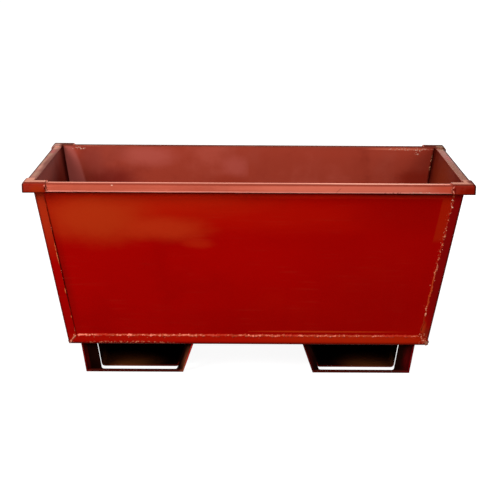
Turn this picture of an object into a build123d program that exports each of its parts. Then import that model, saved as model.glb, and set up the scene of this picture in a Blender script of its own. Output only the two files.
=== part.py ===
from build123d import *
import os
from math import atan, cos, radians, tan

# A cement tub for a building site: a long tub of folded sheet steel with walls that lean outwards,
# a folded rim with a cap on each corner, and two fork pockets underneath for a lift truck.
# The tub is a weldment. Each sheet, rail, cap, channel, frame and set of weld runs is its own node.
# Millimetres, +Z up, X along the tub, the front faces -Y. The origin is on the ground under the middle.

# Overall sizes
TUB_LENGTH = 1200.0  # over the corner caps
TUB_WIDTH = 640.0  # over the corner caps
TUB_HEIGHT = 560.0  # from the ground to the top of the corner caps
FOOT_HEIGHT = 83.0  # from the ground to the underside of the floor

# Body sheets
SHEET = 3.0
WALL_LEAN = 78.0  # how far each wall leans out between the floor and its top edge
END_FLANGE = 25.0  # edge of an end wall that is turned onto the front and the rear
FLOOR_FLANGE = 27.0  # edge of the floor that is turned up onto the front and rear walls
WALL_LAP = 15.0  # how far the front and rear walls reach behind those flanges
SHEET_BEND = 3.0  # inside radius of the folds

# Rim rails
RIM_PLATE = 3.0
RIM_OVERHANG = 19.0  # from the wall's outer face out to the rail's face
RIM_WIDTH = 25.0
RIM_DROP = 23.0
RIM_LIP = 9.0  # return at the foot of the rail's face
RIM_BEND = 1.5  # inside radius of the folds

# Corner caps
CAP_PLATE = 4.0
CAP_LENGTH = 62.0
CAP_DROP = 25.0  # from the rails' top down to the foot of a cap, a little past the rails
CAP_CORNER_RADIUS = 5.0

# Fork pockets
POCKET_SPACING = 610.0  # between the middles of the two pockets
POCKET_WIDTH = 210.0  # inside, along the floor of the pocket
POCKET_PLATE = 4.0
POCKET_BEND = 6.0  # inside radius of the folds
POCKET_OUTER_LEAN = 9.1  # degrees, the side towards the end of the tub
POCKET_INNER_LEAN = 19.4  # degrees, the side towards the middle of the tub
SLEEVE_LENGTH = 326.0
MOUTH_DEPTH = 15.0
MOUTH_OUTER_MARGIN = 43.0  # how far a mouth frame spreads past the pocket, on the outer side
MOUTH_INNER_MARGIN = 20.0  # the same on the inner side
MOUTH_SETBACK = 6.0  # from the edge of the floor back to the face of a mouth frame

# Weld runs
BEAD_WIDTH = 7.0
BEAD_HEIGHT = 1.8
LAP_WELD_LEG = 3.0
FILLET_LEG = 5.0
CAP_WELD_LEG = 3.0
STITCH_LENGTH = 60.0
RIM_STITCHES_LONG = 6
RIM_STITCHES_SHORT = 3
SLEEVE_STITCHES = 3
BEAD_CORNER_GAP = 9.0  # from the folded bottom corner to the start of the mitre weld

# Room that cutting shapes have past the sheets
CUT_ROOM = 20.0

# Worked out from the sizes above
RAIL_TOP = TUB_HEIGHT - CAP_PLATE
RAIL_BOTTOM = RAIL_TOP - RIM_DROP
CAP_BOTTOM = RAIL_TOP - CAP_DROP
WALL_TOP = RAIL_TOP - RIM_PLATE
WALL_HEIGHT = WALL_TOP - FOOT_HEIGHT
WALL_ANGLE = atan(WALL_LEAN / WALL_HEIGHT)
SHEET_ACROSS = SHEET / cos(WALL_ANGLE)  # thickness of a leaning sheet, measured level
RAIL_HALF_LENGTH = TUB_LENGTH / 2 - CAP_PLATE
RAIL_HALF_WIDTH = TUB_WIDTH / 2 - CAP_PLATE
FLANGE_TOP = FOOT_HEIGHT + FLOOR_FLANGE
FLOOR_TOP = FOOT_HEIGHT + SHEET

UP = Vector(0, 0, 1)
SIDES = {
    "front": Vector(0, -1, 0),
    "rear": Vector(0, 1, 0),
    "left": Vector(-1, 0, 0),
    "right": Vector(1, 0, 0),
}


def outer_half_length(z):
    """Half the tub's length over the sheets at height z."""
    return RAIL_HALF_LENGTH - RIM_OVERHANG - WALL_LEAN * (WALL_TOP - z) / WALL_HEIGHT


def outer_half_width(z):
    """Half the tub's width over the sheets at height z."""
    return RAIL_HALF_WIDTH - RIM_OVERHANG - WALL_LEAN * (WALL_TOP - z) / WALL_HEIGHT


def seam_x(z):
    """Where the edge of an end wall's flange lies on the front or rear, at height z."""
    return outer_half_length(z) - END_FLANGE


def mitre_x(z):
    """Where the mitre between the floor's flange and an end wall's flange lies, at height z."""
    bottom = outer_half_length(FOOT_HEIGHT)
    share = (z - FOOT_HEIGHT) / FLOOR_FLANGE
    return bottom + (seam_x(FLANGE_TOP) - bottom) * share


def level_rectangle(z, inset):
    """The tub's outline at height z, drawn in by an inset."""
    length = 2 * (outer_half_length(z) - inset)
    width = 2 * (outer_half_width(z) - inset)
    return Pos(0, 0, z) * Rectangle(length, width)


def leaning_block(bottom, top, inset):
    """A solid block with the tub's leaning sides and sharp corners."""
    return loft([level_rectangle(bottom, inset), level_rectangle(top, inset)], ruled=True)


def folded_block(bottom, top, inset, fold_radius):
    """A leaning block that is rounded where the sheets are folded."""
    block = leaning_block(bottom, top, inset)
    corners = block.edges().filter_by(lambda edge: edge.bounding_box().size.Z > SHEET)
    long_folds = block.edges().filter_by(Axis.X).group_by(Axis.Z)[0]
    return fillet(corners + long_folds, fold_radius)


def front_view_prism(points, front=True, rear=True):
    """A shape drawn in the front view and carried through the front half, the rear half or both."""
    reach = TUB_WIDTH
    drawing = Plane.XZ * Polygon(*points, align=None)
    if front and rear:
        return extrude(drawing, amount=reach, both=True)
    return extrude(drawing, amount=reach if front else -reach)


def long_wall(facing):
    """The front or rear wall: a flat leaning sheet that stands behind the flanges and laps them."""
    low = FLANGE_TOP - WALL_LAP
    sheet = leaning_block(low, WALL_TOP, SHEET_ACROSS) - leaning_block(low, WALL_TOP, 2 * SHEET_ACROSS)
    low_x = seam_x(low) + WALL_LAP
    high_x = seam_x(WALL_TOP) + WALL_LAP
    shape = [(-low_x, low), (low_x, low), (high_x, WALL_TOP), (-high_x, WALL_TOP)]
    return sheet & front_view_prism(shape, front=facing == "front", rear=facing == "rear")


def body_sheets():
    """The two long walls, and the floor and the two end walls, which are cut from one leaning shell."""
    outside = folded_block(FOOT_HEIGHT, WALL_TOP, 0.0, SHEET_BEND + SHEET)
    inside = folded_block(FLOOR_TOP, WALL_TOP + CUT_ROOM, SHEET_ACROSS, SHEET_BEND)
    shell = outside - inside
    low = FOOT_HEIGHT - CUT_ROOM
    high = WALL_TOP + CUT_ROOM
    floor_shape = [
        (-mitre_x(low), low),
        (mitre_x(low), low),
        (seam_x(FLANGE_TOP), FLANGE_TOP),
        (-seam_x(FLANGE_TOP), FLANGE_TOP),
    ]
    end_shape = [
        (mitre_x(low), low),
        (TUB_LENGTH, low),
        (TUB_LENGTH, high),
        (seam_x(high), high),
        (seam_x(FLANGE_TOP), FLANGE_TOP),
    ]
    mirrored_end_shape = [(-x, z) for x, z in reversed(end_shape)]
    return {
        "floor_tray": shell & front_view_prism(floor_shape),
        "front_wall": long_wall("front"),
        "rear_wall": long_wall("rear"),
        "left_end_wall": shell & front_view_prism(mirrored_end_shape),
        "right_end_wall": shell & front_view_prism(end_shape),
    }


def section_plane(outward):
    """Upright plane across a rail: its x points outwards and its y points up."""
    return Plane(origin=(0, 0, 0), x_dir=outward, z_dir=outward.cross(UP))


def folded_section(points, plate, fold_radius, side):
    """Section of a folded plate: a polyline with rounded folds, thickened to one side."""
    line = FilletPolyline(*points, radius=fold_radius)
    return make_face(offset(line, amount=plate, side=side))


def rail_reach(side):
    """How far out a rail's face stands on the given side, and half the rail's length."""
    if side in ("front", "rear"):
        return RAIL_HALF_WIDTH, RAIL_HALF_LENGTH
    return RAIL_HALF_LENGTH, RAIL_HALF_WIDTH


def mitre_wedge(side):
    """Block between the two corner mitres of the rim on one side of the tub."""
    out, half = rail_reach(side)
    spread = RIM_WIDTH + CUT_ROOM
    plan = Polygon(
        (out + spread, -half - spread),
        (out + spread, half + spread),
        (out - spread, half - spread),
        (out - spread, -half + spread),
        align=None,
    )
    facing = Plane(origin=(0, 0, CAP_BOTTOM - CUT_ROOM), x_dir=SIDES[side], z_dir=UP)
    return extrude(facing * plan, amount=CAP_DROP + 2 * CUT_ROOM)


def rim_rail(side):
    """One folded rim rail: a top flange, a face and a short return, mitred at both ends."""
    out, half = rail_reach(side)
    section = folded_section(
        [
            (out - RIM_WIDTH, RAIL_TOP),
            (out, RAIL_TOP),
            (out, RAIL_BOTTOM),
            (out - RIM_LIP, RAIL_BOTTOM),
        ],
        RIM_PLATE,
        RIM_BEND + RIM_PLATE,
        Side.RIGHT,
    )
    rail = extrude(section_plane(SIDES[side]) * section, amount=half, both=True)
    return rail & mitre_wedge(side)


def corner_cap(end, face):
    """One corner cap: an angle plate over the rail on each side, mitred and joined at the corner."""
    halves = []
    for side, other in ((end, face), (face, end)):
        out, half = rail_reach(side)
        section = folded_section(
            [
                (out - RIM_WIDTH, TUB_HEIGHT),
                (out + CAP_PLATE, TUB_HEIGHT),
                (out + CAP_PLATE, CAP_BOTTOM),
            ],
            CAP_PLATE,
            RIM_BEND + RIM_PLATE + CAP_PLATE,
            Side.RIGHT,
        )
        strip = extrude(section_plane(SIDES[side]) * section, amount=half + CAP_PLATE, both=True)
        along = SIDES[other]
        start = half + CAP_PLATE - CAP_LENGTH
        keep = Plane(origin=along * start, z_dir=along)
        strip = split(strip, bisect_by=keep, keep=Keep.TOP)
        halves.append(strip & mitre_wedge(side))
    outline = RectangleRounded(TUB_LENGTH, TUB_WIDTH, CAP_CORNER_RADIUS)
    rounded = extrude(Pos(0, 0, CAP_BOTTOM - CUT_ROOM) * outline, amount=CAP_DROP + 2 * CUT_ROOM)
    return (halves[0] + halves[1]) & rounded


def pocket_edges():
    """Inside bottom corners of the right hand fork pocket, as x of the outer and of the inner side."""
    return POCKET_SPACING / 2 + POCKET_WIDTH / 2, POCKET_SPACING / 2 - POCKET_WIDTH / 2


def pocket_outline(outer_margin, inner_margin, bottom, top):
    """Four points of a pocket's leaning outline, down the outer side and up the inner side."""
    outer, inner = pocket_edges()
    outer_slope = tan(radians(POCKET_OUTER_LEAN))
    inner_slope = tan(radians(POCKET_INNER_LEAN))
    outer_foot = outer + outer_margin
    inner_foot = inner - inner_margin
    return [
        (outer_foot + outer_slope * (top - POCKET_PLATE), top),
        (outer_foot + outer_slope * (bottom - POCKET_PLATE), bottom),
        (inner_foot - inner_slope * (bottom - POCKET_PLATE), bottom),
        (inner_foot - inner_slope * (top - POCKET_PLATE), top),
    ]


def fork_sleeve():
    """The right hand fork pocket: one plate folded into a channel, its sides cut level at the floor."""
    inside = pocket_outline(0.0, 0.0, POCKET_PLATE, FOOT_HEIGHT + CUT_ROOM)
    section = folded_section(inside, POCKET_PLATE, POCKET_BEND, Side.LEFT)
    over = Pos(POCKET_SPACING / 2, FOOT_HEIGHT) * Rectangle(
        TUB_LENGTH, 3 * CUT_ROOM, align=(Align.CENTER, Align.MIN)
    )
    return extrude(Plane.XZ * (section - over), amount=SLEEVE_LENGTH / 2, both=True)


def mouth_frame():
    """The front right mouth frame: two jamb plates round the pocket, with a lip along the outer edge."""
    outline = Polygon(*pocket_outline(MOUTH_OUTER_MARGIN, MOUTH_INNER_MARGIN, 0.0, FOOT_HEIGHT), align=None)
    outer_lip = POCKET_PLATE / cos(radians(POCKET_OUTER_LEAN))
    inner_lip = POCKET_PLATE / cos(radians(POCKET_INNER_LEAN))
    tray_points = pocket_outline(
        MOUTH_OUTER_MARGIN - outer_lip,
        MOUTH_INNER_MARGIN - inner_lip,
        POCKET_PLATE,
        FOOT_HEIGHT + CUT_ROOM,
    )
    opening_points = pocket_outline(0.0, 0.0, POCKET_PLATE, FOOT_HEIGHT + CUT_ROOM)
    opening_line = FilletPolyline(*opening_points, radius=POCKET_BEND)
    opening = make_face(opening_line + Line(opening_points[-1], opening_points[0]))
    face_y = -(outer_half_width(FOOT_HEIGHT) - MOUTH_SETBACK)
    facing = Plane(origin=(0, face_y, 0), x_dir=(1, 0, 0), z_dir=(0, -1, 0))
    backwards = (0, 1, 0)
    frame = extrude(facing * outline, amount=MOUTH_DEPTH, dir=backwards)
    recess = Polygon(*tray_points, align=None)
    frame -= extrude(facing * recess, amount=MOUTH_DEPTH - POCKET_PLATE, dir=backwards)
    return frame - extrude(facing * opening, amount=MOUTH_DEPTH, dir=backwards)


def bead_section():
    """Section of a run along a flush seam: a low round crown on a flat base."""
    base = Line((-BEAD_WIDTH / 2, 0), (BEAD_WIDTH / 2, 0))
    crown = ThreePointArc((BEAD_WIDTH / 2, 0), (0, BEAD_HEIGHT), (-BEAD_WIDTH / 2, 0))
    return make_face(base + crown)


def flush_bead(start, end, outward, start_gap, end_gap):
    """A run along a flush seam from start to end, stopping short by a gap at each end."""
    along = (end - start).normalized()
    first = start + along * start_gap
    length = (end - start).length - start_gap - end_gap
    plane = Plane(origin=first, x_dir=outward.cross(along), z_dir=along)
    return extrude(plane * bead_section(), amount=length, dir=along)


def fillet_run(start, end, first_face, second_face, leg):
    """A run in a corner: a triangle with a leg along each face, carried from start to end."""
    along = (end - start).normalized()
    plane = Plane(origin=start, x_dir=first_face, z_dir=along)
    second = Vector(second_face.dot(plane.x_dir), second_face.dot(plane.y_dir))
    triangle = Polygon((0, 0), (leg, 0), (leg * second.X, leg * second.Y), align=None)
    return extrude(plane * triangle, amount=(end - start).length, dir=along)


def stitched(start, end, count):
    """Start and end points of stitches of one length, spread evenly from start to end."""
    along = (end - start).normalized()
    pitch = (end - start).length / count
    middles = [start + along * (pitch * (index + 0.5)) for index in range(count)]
    half = along * (STITCH_LENGTH / 2)
    return [(middle - half, middle + half) for middle in middles]


def flange_point(x, z, facing):
    """A point on the outer face of the flanges, on the front or the rear."""
    return Vector(x, SIDES[facing].Y * outer_half_width(z), z)


def lapped_point(x, z, facing):
    """A point on the outer face of the front or rear wall, which stands one sheet behind the flanges."""
    return Vector(x, SIDES[facing].Y * (outer_half_width(z) - SHEET_ACROSS), z)


def wall_outward(facing):
    """Outward direction of a leaning wall's outer face."""
    return SIDES[facing] * cos(WALL_ANGLE) - UP * (WALL_LEAN / WALL_HEIGHT * cos(WALL_ANGLE))


def wall_down(facing):
    """Direction down a leaning wall's outer face."""
    return (SIDES[facing] * -WALL_LEAN - UP * WALL_HEIGHT).normalized()


def seam_welds():
    """Runs on the front and rear: along the flange seams, along the floor seam and on the mitres."""
    runs = {"corner_seam_welds": [], "floor_seam_welds": [], "mitre_welds": []}
    low = FLANGE_TOP + LAP_WELD_LEG
    half = seam_x(FLANGE_TOP) - LAP_WELD_LEG
    for facing, outward in (("front", SIDES["front"]), ("rear", SIDES["rear"])):
        for sign in (-1, 1):
            foot = lapped_point(sign * seam_x(low), low, facing)
            under_rim = lapped_point(sign * seam_x(RAIL_BOTTOM), RAIL_BOTTOM, facing)
            inwards = Vector(-sign, 0, 0)
            runs["corner_seam_welds"].append(fillet_run(foot, under_rim, inwards, outward, LAP_WELD_LEG))
            bottom = flange_point(sign * mitre_x(FOOT_HEIGHT), FOOT_HEIGHT, facing)
            junction = flange_point(sign * seam_x(FLANGE_TOP), FLANGE_TOP, facing)
            runs["mitre_welds"].append(
                flush_bead(bottom, junction, wall_outward(facing), BEAD_CORNER_GAP, BEAD_WIDTH / 2)
            )
        start = lapped_point(-half, FLANGE_TOP, facing)
        end = lapped_point(half, FLANGE_TOP, facing)
        runs["floor_seam_welds"].append(
            fillet_run(start, end, outward, wall_down(facing) * -1, LAP_WELD_LEG)
        )
    return runs


def floor_end_welds():
    """Runs inside the tub where the end walls stand on the floor."""
    runs = []
    for side in ("left", "right"):
        outward = SIDES[side]
        inner_x = outer_half_length(FLOOR_TOP) - SHEET_ACROSS
        half = outer_half_width(FLOOR_TOP) - SHEET_ACROSS - SHEET_BEND - FILLET_LEG
        start = Vector(outward.X * inner_x, -half, FLOOR_TOP)
        end = Vector(outward.X * inner_x, half, FLOOR_TOP)
        runs.append(fillet_run(start, end, outward * -1, wall_down(side) * -1, FILLET_LEG))
    return runs


def rim_rail_welds():
    """Stitches under the rim, between the rails' top flanges and the walls."""
    runs = []
    for side, outward in SIDES.items():
        long_side = side in ("front", "rear")
        out = outer_half_width(WALL_TOP) - SHEET_ACROSS if long_side else outer_half_length(WALL_TOP)
        half = seam_x(WALL_TOP) if long_side else outer_half_width(WALL_TOP) - END_FLANGE
        count = RIM_STITCHES_LONG if long_side else RIM_STITCHES_SHORT
        sideways = outward.cross(UP)
        start = outward * out + UP * WALL_TOP - sideways * half
        end = outward * out + UP * WALL_TOP + sideways * half
        for first, last in stitched(start, end, count):
            runs.append(fillet_run(first, last, outward, wall_down(side), FILLET_LEG))
    return runs


def corner_cap_welds():
    """Runs over the ends of the caps, on the rails' top flanges and faces."""
    runs = []
    fold = RIM_BEND + RIM_PLATE
    for side, outward in SIDES.items():
        out, half = rail_reach(side)
        for sign in (-1, 1):
            sideways = outward.cross(UP) * sign
            cap_end = sideways * (half + CAP_PLATE - CAP_LENGTH)
            top_inner = cap_end + outward * (out - RIM_WIDTH) + UP * RAIL_TOP
            top_outer = cap_end + outward * (out - fold) + UP * RAIL_TOP
            face_upper = cap_end + outward * out + UP * (RAIL_TOP - fold)
            face_lower = cap_end + outward * out + UP * (RAIL_BOTTOM + fold)
            runs.append(fillet_run(top_inner, top_outer, UP, sideways * -1, CAP_WELD_LEG))
            runs.append(fillet_run(face_upper, face_lower, outward, sideways * -1, CAP_WELD_LEG))
    return runs


def fork_sleeve_welds():
    """Stitches along both sides of the right hand sleeve, under the floor."""
    runs = []
    outer, _, _, inner = pocket_outline(0.0, 0.0, POCKET_PLATE, FOOT_HEIGHT)
    for top, lean, sign in ((outer, POCKET_OUTER_LEAN, 1), (inner, POCKET_INNER_LEAN, -1)):
        x = top[0] + sign * POCKET_PLATE / cos(radians(lean))
        down = Vector(-sign * tan(radians(lean)), 0, -1).normalized()
        start = Vector(x, -SLEEVE_LENGTH / 2, FOOT_HEIGHT)
        end = Vector(x, SLEEVE_LENGTH / 2, FOOT_HEIGHT)
        for first, last in stitched(start, end, SLEEVE_STITCHES):
            runs.append(fillet_run(first, last, Vector(sign, 0, 0), down, FILLET_LEG))
    return runs


def mouth_frame_welds():
    """Runs behind the jambs of the front right mouth frame, under the floor."""
    runs = []
    frame = pocket_outline(MOUTH_OUTER_MARGIN, MOUTH_INNER_MARGIN, 0.0, FOOT_HEIGHT)
    pocket = pocket_outline(0.0, 0.0, 0.0, FOOT_HEIGHT)
    back_y = -(outer_half_width(FOOT_HEIGHT) - MOUTH_SETBACK) + MOUTH_DEPTH
    for far, near in ((pocket[0], frame[0]), (frame[3], pocket[3])):
        start = Vector(far[0], back_y, FOOT_HEIGHT)
        end = Vector(near[0], back_y, FOOT_HEIGHT)
        runs.append(fillet_run(start, end, Vector(0, 1, 0), UP * -1, FILLET_LEG))
    return runs


def group(solids):
    """Separate solids that share one node."""
    return Compound(children=[Solid(part.solid().wrapped) for part in solids])


def build_parts():
    """Every node of the tub by name."""
    nodes = body_sheets()
    for side in SIDES:
        nodes[f"{side}_rim_rail"] = rim_rail(side)
    for face in ("front", "rear"):
        for end in ("left", "right"):
            nodes[f"{face}_{end}_corner_cap"] = corner_cap(end, face)
    right_sleeve = fork_sleeve()
    nodes["right_fork_sleeve"] = right_sleeve
    nodes["left_fork_sleeve"] = mirror(right_sleeve, about=Plane.YZ)
    front_right_frame = mouth_frame()
    front_left_frame = mirror(front_right_frame, about=Plane.YZ)
    nodes["front_right_mouth_frame"] = front_right_frame
    nodes["front_left_mouth_frame"] = front_left_frame
    nodes["rear_right_mouth_frame"] = mirror(front_right_frame, about=Plane.XZ)
    nodes["rear_left_mouth_frame"] = mirror(front_left_frame, about=Plane.XZ)
    welds = seam_welds()
    welds["floor_end_welds"] = floor_end_welds()
    welds["rim_rail_welds"] = rim_rail_welds()
    welds["corner_cap_welds"] = corner_cap_welds()
    sleeve_runs = fork_sleeve_welds()
    welds["fork_sleeve_welds"] = sleeve_runs + [mirror(run, about=Plane.YZ) for run in sleeve_runs]
    frame_runs = mouth_frame_welds()
    frame_runs += [mirror(run, about=Plane.YZ) for run in frame_runs]
    frame_runs += [mirror(run, about=Plane.XZ) for run in frame_runs]
    welds["mouth_frame_welds"] = frame_runs
    for name, runs in welds.items():
        nodes[name] = group(runs)
    return nodes


def main():
    """Write one STEP file for each node."""
    os.makedirs("parts", exist_ok=True)
    for name, shape in build_parts().items():
        export_step(shape, os.path.join("parts", f"{name}.step"))


if __name__ == "__main__":
    main()
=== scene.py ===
"""Looks of a welded steel cement tub: hand laid welds, wavy sheets, worn rails and red oxide paint."""
import logging
from dataclasses import dataclass, field, replace
from enum import Enum
from functools import cached_property, partial, partialmethod
from math import atan, cos, pi, radians, sin
from typing import ClassVar, NamedTuple

import bmesh
import bpy
import numpy as np
from mathutils import Matrix, Vector


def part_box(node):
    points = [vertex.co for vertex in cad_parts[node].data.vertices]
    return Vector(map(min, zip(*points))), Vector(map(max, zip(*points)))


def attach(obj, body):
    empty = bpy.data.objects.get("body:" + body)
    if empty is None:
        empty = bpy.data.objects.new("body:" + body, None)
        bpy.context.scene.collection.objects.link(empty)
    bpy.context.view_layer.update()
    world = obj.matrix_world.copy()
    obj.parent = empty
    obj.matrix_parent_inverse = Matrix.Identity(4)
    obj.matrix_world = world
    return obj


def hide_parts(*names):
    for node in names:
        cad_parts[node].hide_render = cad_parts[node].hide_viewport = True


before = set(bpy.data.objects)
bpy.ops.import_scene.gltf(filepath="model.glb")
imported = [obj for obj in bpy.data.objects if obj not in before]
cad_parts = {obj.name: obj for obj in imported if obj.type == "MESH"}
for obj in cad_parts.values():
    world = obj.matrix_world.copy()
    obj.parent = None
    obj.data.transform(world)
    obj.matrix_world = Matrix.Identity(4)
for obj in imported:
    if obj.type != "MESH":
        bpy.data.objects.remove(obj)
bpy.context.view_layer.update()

log = logging.getLogger("cement_tub")

Points = np.ndarray
Length = Points | float
Place = tuple[float, float, float]
Colour = tuple[float, float, float]
Span = tuple[float, float]
Material = bpy.types.Material
Node = bpy.types.Node
Socket = bpy.types.NodeSocket
Tree = bpy.types.NodeTree
BODY = "root"
FRONT, REAR = -1.0, 1.0
LEFT, RIGHT = -1.0, 1.0
SIDES = (LEFT, RIGHT)
SIGNS = {"front": FRONT, "rear": REAR, "left": LEFT, "right": RIGHT}
SMOOTH_ANGLE = radians(35.0)
INSIDE_MARK = "inside"


class Slot(Enum):
    """The record's material slots, named for new pieces but not given to them."""

    BODY = "body_paint"
    RIM = "rim_paint"
    CAP = "cap_paint"
    WELD = "weld_paint"


class WeldHabit(Enum):
    """How a weld run was laid: evenly, roughly with blobs, or as tacks with bare stretches between."""

    EVEN = "even"
    ROUGH = "rough"
    TACKED = "tacked"


@dataclass(frozen=True)
class TubSizes:
    """Sizes in metres that the sub-assemblies share. The first eight are read from the frame."""

    half_length: float
    half_width: float
    cap_top: float
    cap_bottom: float
    rail_bottom: float
    wall_top: float
    floor_bottom: float
    flange_top: float
    sheet: float = 0.003
    lean: float = 0.078
    end_flange: float = 0.025
    wall_lap: float = 0.015
    cap_plate: float = 0.004
    rim_overhang: float = 0.019
    rim_width: float = 0.025

    @classmethod
    def from_frame(cls) -> "TubSizes":
        """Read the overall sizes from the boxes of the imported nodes.

        Returns:
            The sizes.
        """
        cap_low, cap_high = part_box("front_right_corner_cap")
        tray_low, tray_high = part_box("floor_tray")
        return cls(
            half_length=cap_high.x,
            half_width=-cap_low.y,
            cap_top=cap_high.z,
            cap_bottom=cap_low.z,
            rail_bottom=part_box("front_rim_rail")[0].z,
            wall_top=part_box("front_wall")[1].z,
            floor_bottom=tray_low.z,
            flange_top=tray_high.z,
        )

    @property
    def slope(self) -> float:
        """How far a wall leans out for each metre that it rises."""
        return self.lean / (self.wall_top - self.floor_bottom)

    @property
    def angle(self) -> float:
        """How far a wall is turned from upright."""
        return atan(self.slope)

    @property
    def across(self) -> float:
        """Thickness of a leaning sheet, measured level."""
        return self.sheet / cos(self.angle)

    @property
    def rail_top(self) -> float:
        """Height of the rails' top flanges."""
        return self.cap_top - self.cap_plate

    @property
    def rail_half_length(self) -> float:
        """How far out the end rails' faces stand."""
        return self.half_length - self.cap_plate

    @property
    def rail_half_width(self) -> float:
        """How far out the long rails' faces stand."""
        return self.half_width - self.cap_plate

    def sheet_half_length(self, z: Length) -> Length:
        """Half the length over the sheets at height z."""
        return self.rail_half_length - self.rim_overhang - self.slope * (self.wall_top - z)

    def sheet_half_width(self, z: Length) -> Length:
        """Half the width over the sheets at height z."""
        return self.rail_half_width - self.rim_overhang - self.slope * (self.wall_top - z)

    def seam_x(self, z: Length) -> Length:
        """Where the edge of an end wall's flange lies at height z."""
        return self.sheet_half_length(z) - self.end_flange

    def wall_outward(self, facing: float) -> Points:
        """Outward direction of the front or rear wall's face."""
        return np.array([0.0, facing * cos(self.angle), -sin(self.angle)])

    def wall_up(self, facing: float) -> Points:
        """Direction up the face of the front or rear wall."""
        return np.array([0.0, facing * sin(self.angle), cos(self.angle)])


@dataclass
class Wander:
    """Smooth random curves, the same on each run.

    A curve is a sum of sines whose lengths lie near one given length, with random phases.
    """

    seed: int
    waves: int = 7
    spread: float = 0.55
    loudness: float = 0.9

    @cached_property
    def rng(self) -> np.random.Generator:
        """The seeded generator."""
        return np.random.default_rng(self.seed)

    def waves_near(self, length: float) -> tuple[Points, Points]:
        """Draw how fast waves of about one length turn, and where they start."""
        steps = 2 * pi / (length * np.exp(self.rng.uniform(-self.spread, self.spread, self.waves)))
        return steps, self.rng.uniform(0.0, 2 * pi, self.waves)

    def total(self, turns: Points) -> Points:
        """Add up the waves on the last axis."""
        return np.sin(turns).sum(axis=-1) / np.sqrt(self.waves) * self.loudness

    def curve(self, along: Points, length: float) -> Points:
        """Give a curve of about -1 to 1 at the places along a run.

        Args:
            along: distances in metres.
            length: the usual distance between two crests.

        Returns:
            One value for each distance.
        """
        steps, phases = self.waves_near(length)
        return self.total(np.multiply.outer(along, steps) + phases)

    def sheet(self, across: Points, up: Points, length: float) -> Points:
        """Give soft bumps of about -1 to 1 over a sheet.

        The sum of plane waves that run in random directions, of lengths near the given one.

        Args:
            across: first place of each point, in metres.
            up: second place of each point, in metres.
            length: the usual distance between two bumps.

        Returns:
            One value for each point.
        """
        turns = self.rng.uniform(0.0, 2 * pi, self.waves)
        steps, phases = self.waves_near(length)
        run = np.multiply.outer(across, steps * np.cos(turns)) + np.multiply.outer(up, steps * np.sin(turns))
        return self.total(run + phases)


def smooth_step(value: Points, low: float, high: float) -> Points:
    """Ease from 0 at low to 1 at high, as 3t^2 - 2t^3."""
    share = np.clip((value - low) / (high - low), 0.0, 1.0)
    return share * share * (3.0 - 2.0 * share)


def unit(vector: Points) -> Points:
    """Scale vectors on the last axis to a length of 1."""
    return vector / np.linalg.norm(vector, axis=-1, keepdims=True)


@dataclass
class Outline:
    """Closed outline of a section: points in a plane, with how strongly each lies on a worn corner, which
    also places a painted highlight.
    """

    points: Points
    wear: Points

    @classmethod
    def rounded(cls, corners: list[tuple[float, float, float, float]], steps: int = 7) -> "Outline":
        """Round the corners of a polygon.

        Each corner becomes an arc that is tangent to its two sides: from the corner, the arc starts
        radius * tan(turn / 2) back along each side, and its centre lies on the corner's bisector.

        Args:
            corners: x, y, radius, and how worn each corner is, which also places a painted highlight, in
                order.
            steps: points along each arc.

        Returns:
            The outline, anticlockwise if the corners are.
        """
        table = np.array(corners)
        place, radius, wear = table[:, :2], table[:, 2:3], table[:, 3]
        back = unit(np.roll(place, 1, axis=0) - place)
        ahead = unit(np.roll(place, -1, axis=0) - place)
        half_angle = np.arccos(np.clip((back * ahead).sum(axis=1, keepdims=True), -1.0, 1.0)) / 2
        start = place + back * radius / np.tan(half_angle)
        centre = place + unit(back + ahead) * radius / np.sin(half_angle)
        from_centre = start - centre
        turn = np.sign(back[:, 1] * ahead[:, 0] - back[:, 0] * ahead[:, 1])[:, None]
        sweep = (pi - 2 * half_angle) * turn * np.linspace(0.0, 1.0, steps)[None, :]
        cosine, sine = np.cos(sweep), np.sin(sweep)
        x = centre[:, :1] + from_centre[:, :1] * cosine - from_centre[:, 1:] * sine
        y = centre[:, 1:] + from_centre[:, :1] * sine + from_centre[:, 1:] * cosine
        points = np.stack([x, y], axis=-1).reshape(-1, 2)
        return cls(points, np.repeat(wear, steps))


def ring_quads(index: Points) -> Points:
    """Quads between neighbouring rings of point numbers, where each ring closes on itself."""
    beside = np.roll(index, -1, axis=1)
    return np.stack([index[:-1], beside[:-1], beside[1:], index[1:]], axis=-1).reshape(-1, 4)


def turn_outwards(mesh: bpy.types.Mesh) -> None:
    """Turn the faces of closed shapes outwards, mirrored ones too.

    Args:
        mesh: the mesh that holds the shapes.
    """
    shapes = bmesh.new()
    shapes.from_mesh(mesh)
    bmesh.ops.recalc_face_normals(shapes, faces=shapes.faces)
    shapes.to_mesh(mesh)
    shapes.free()


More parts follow.
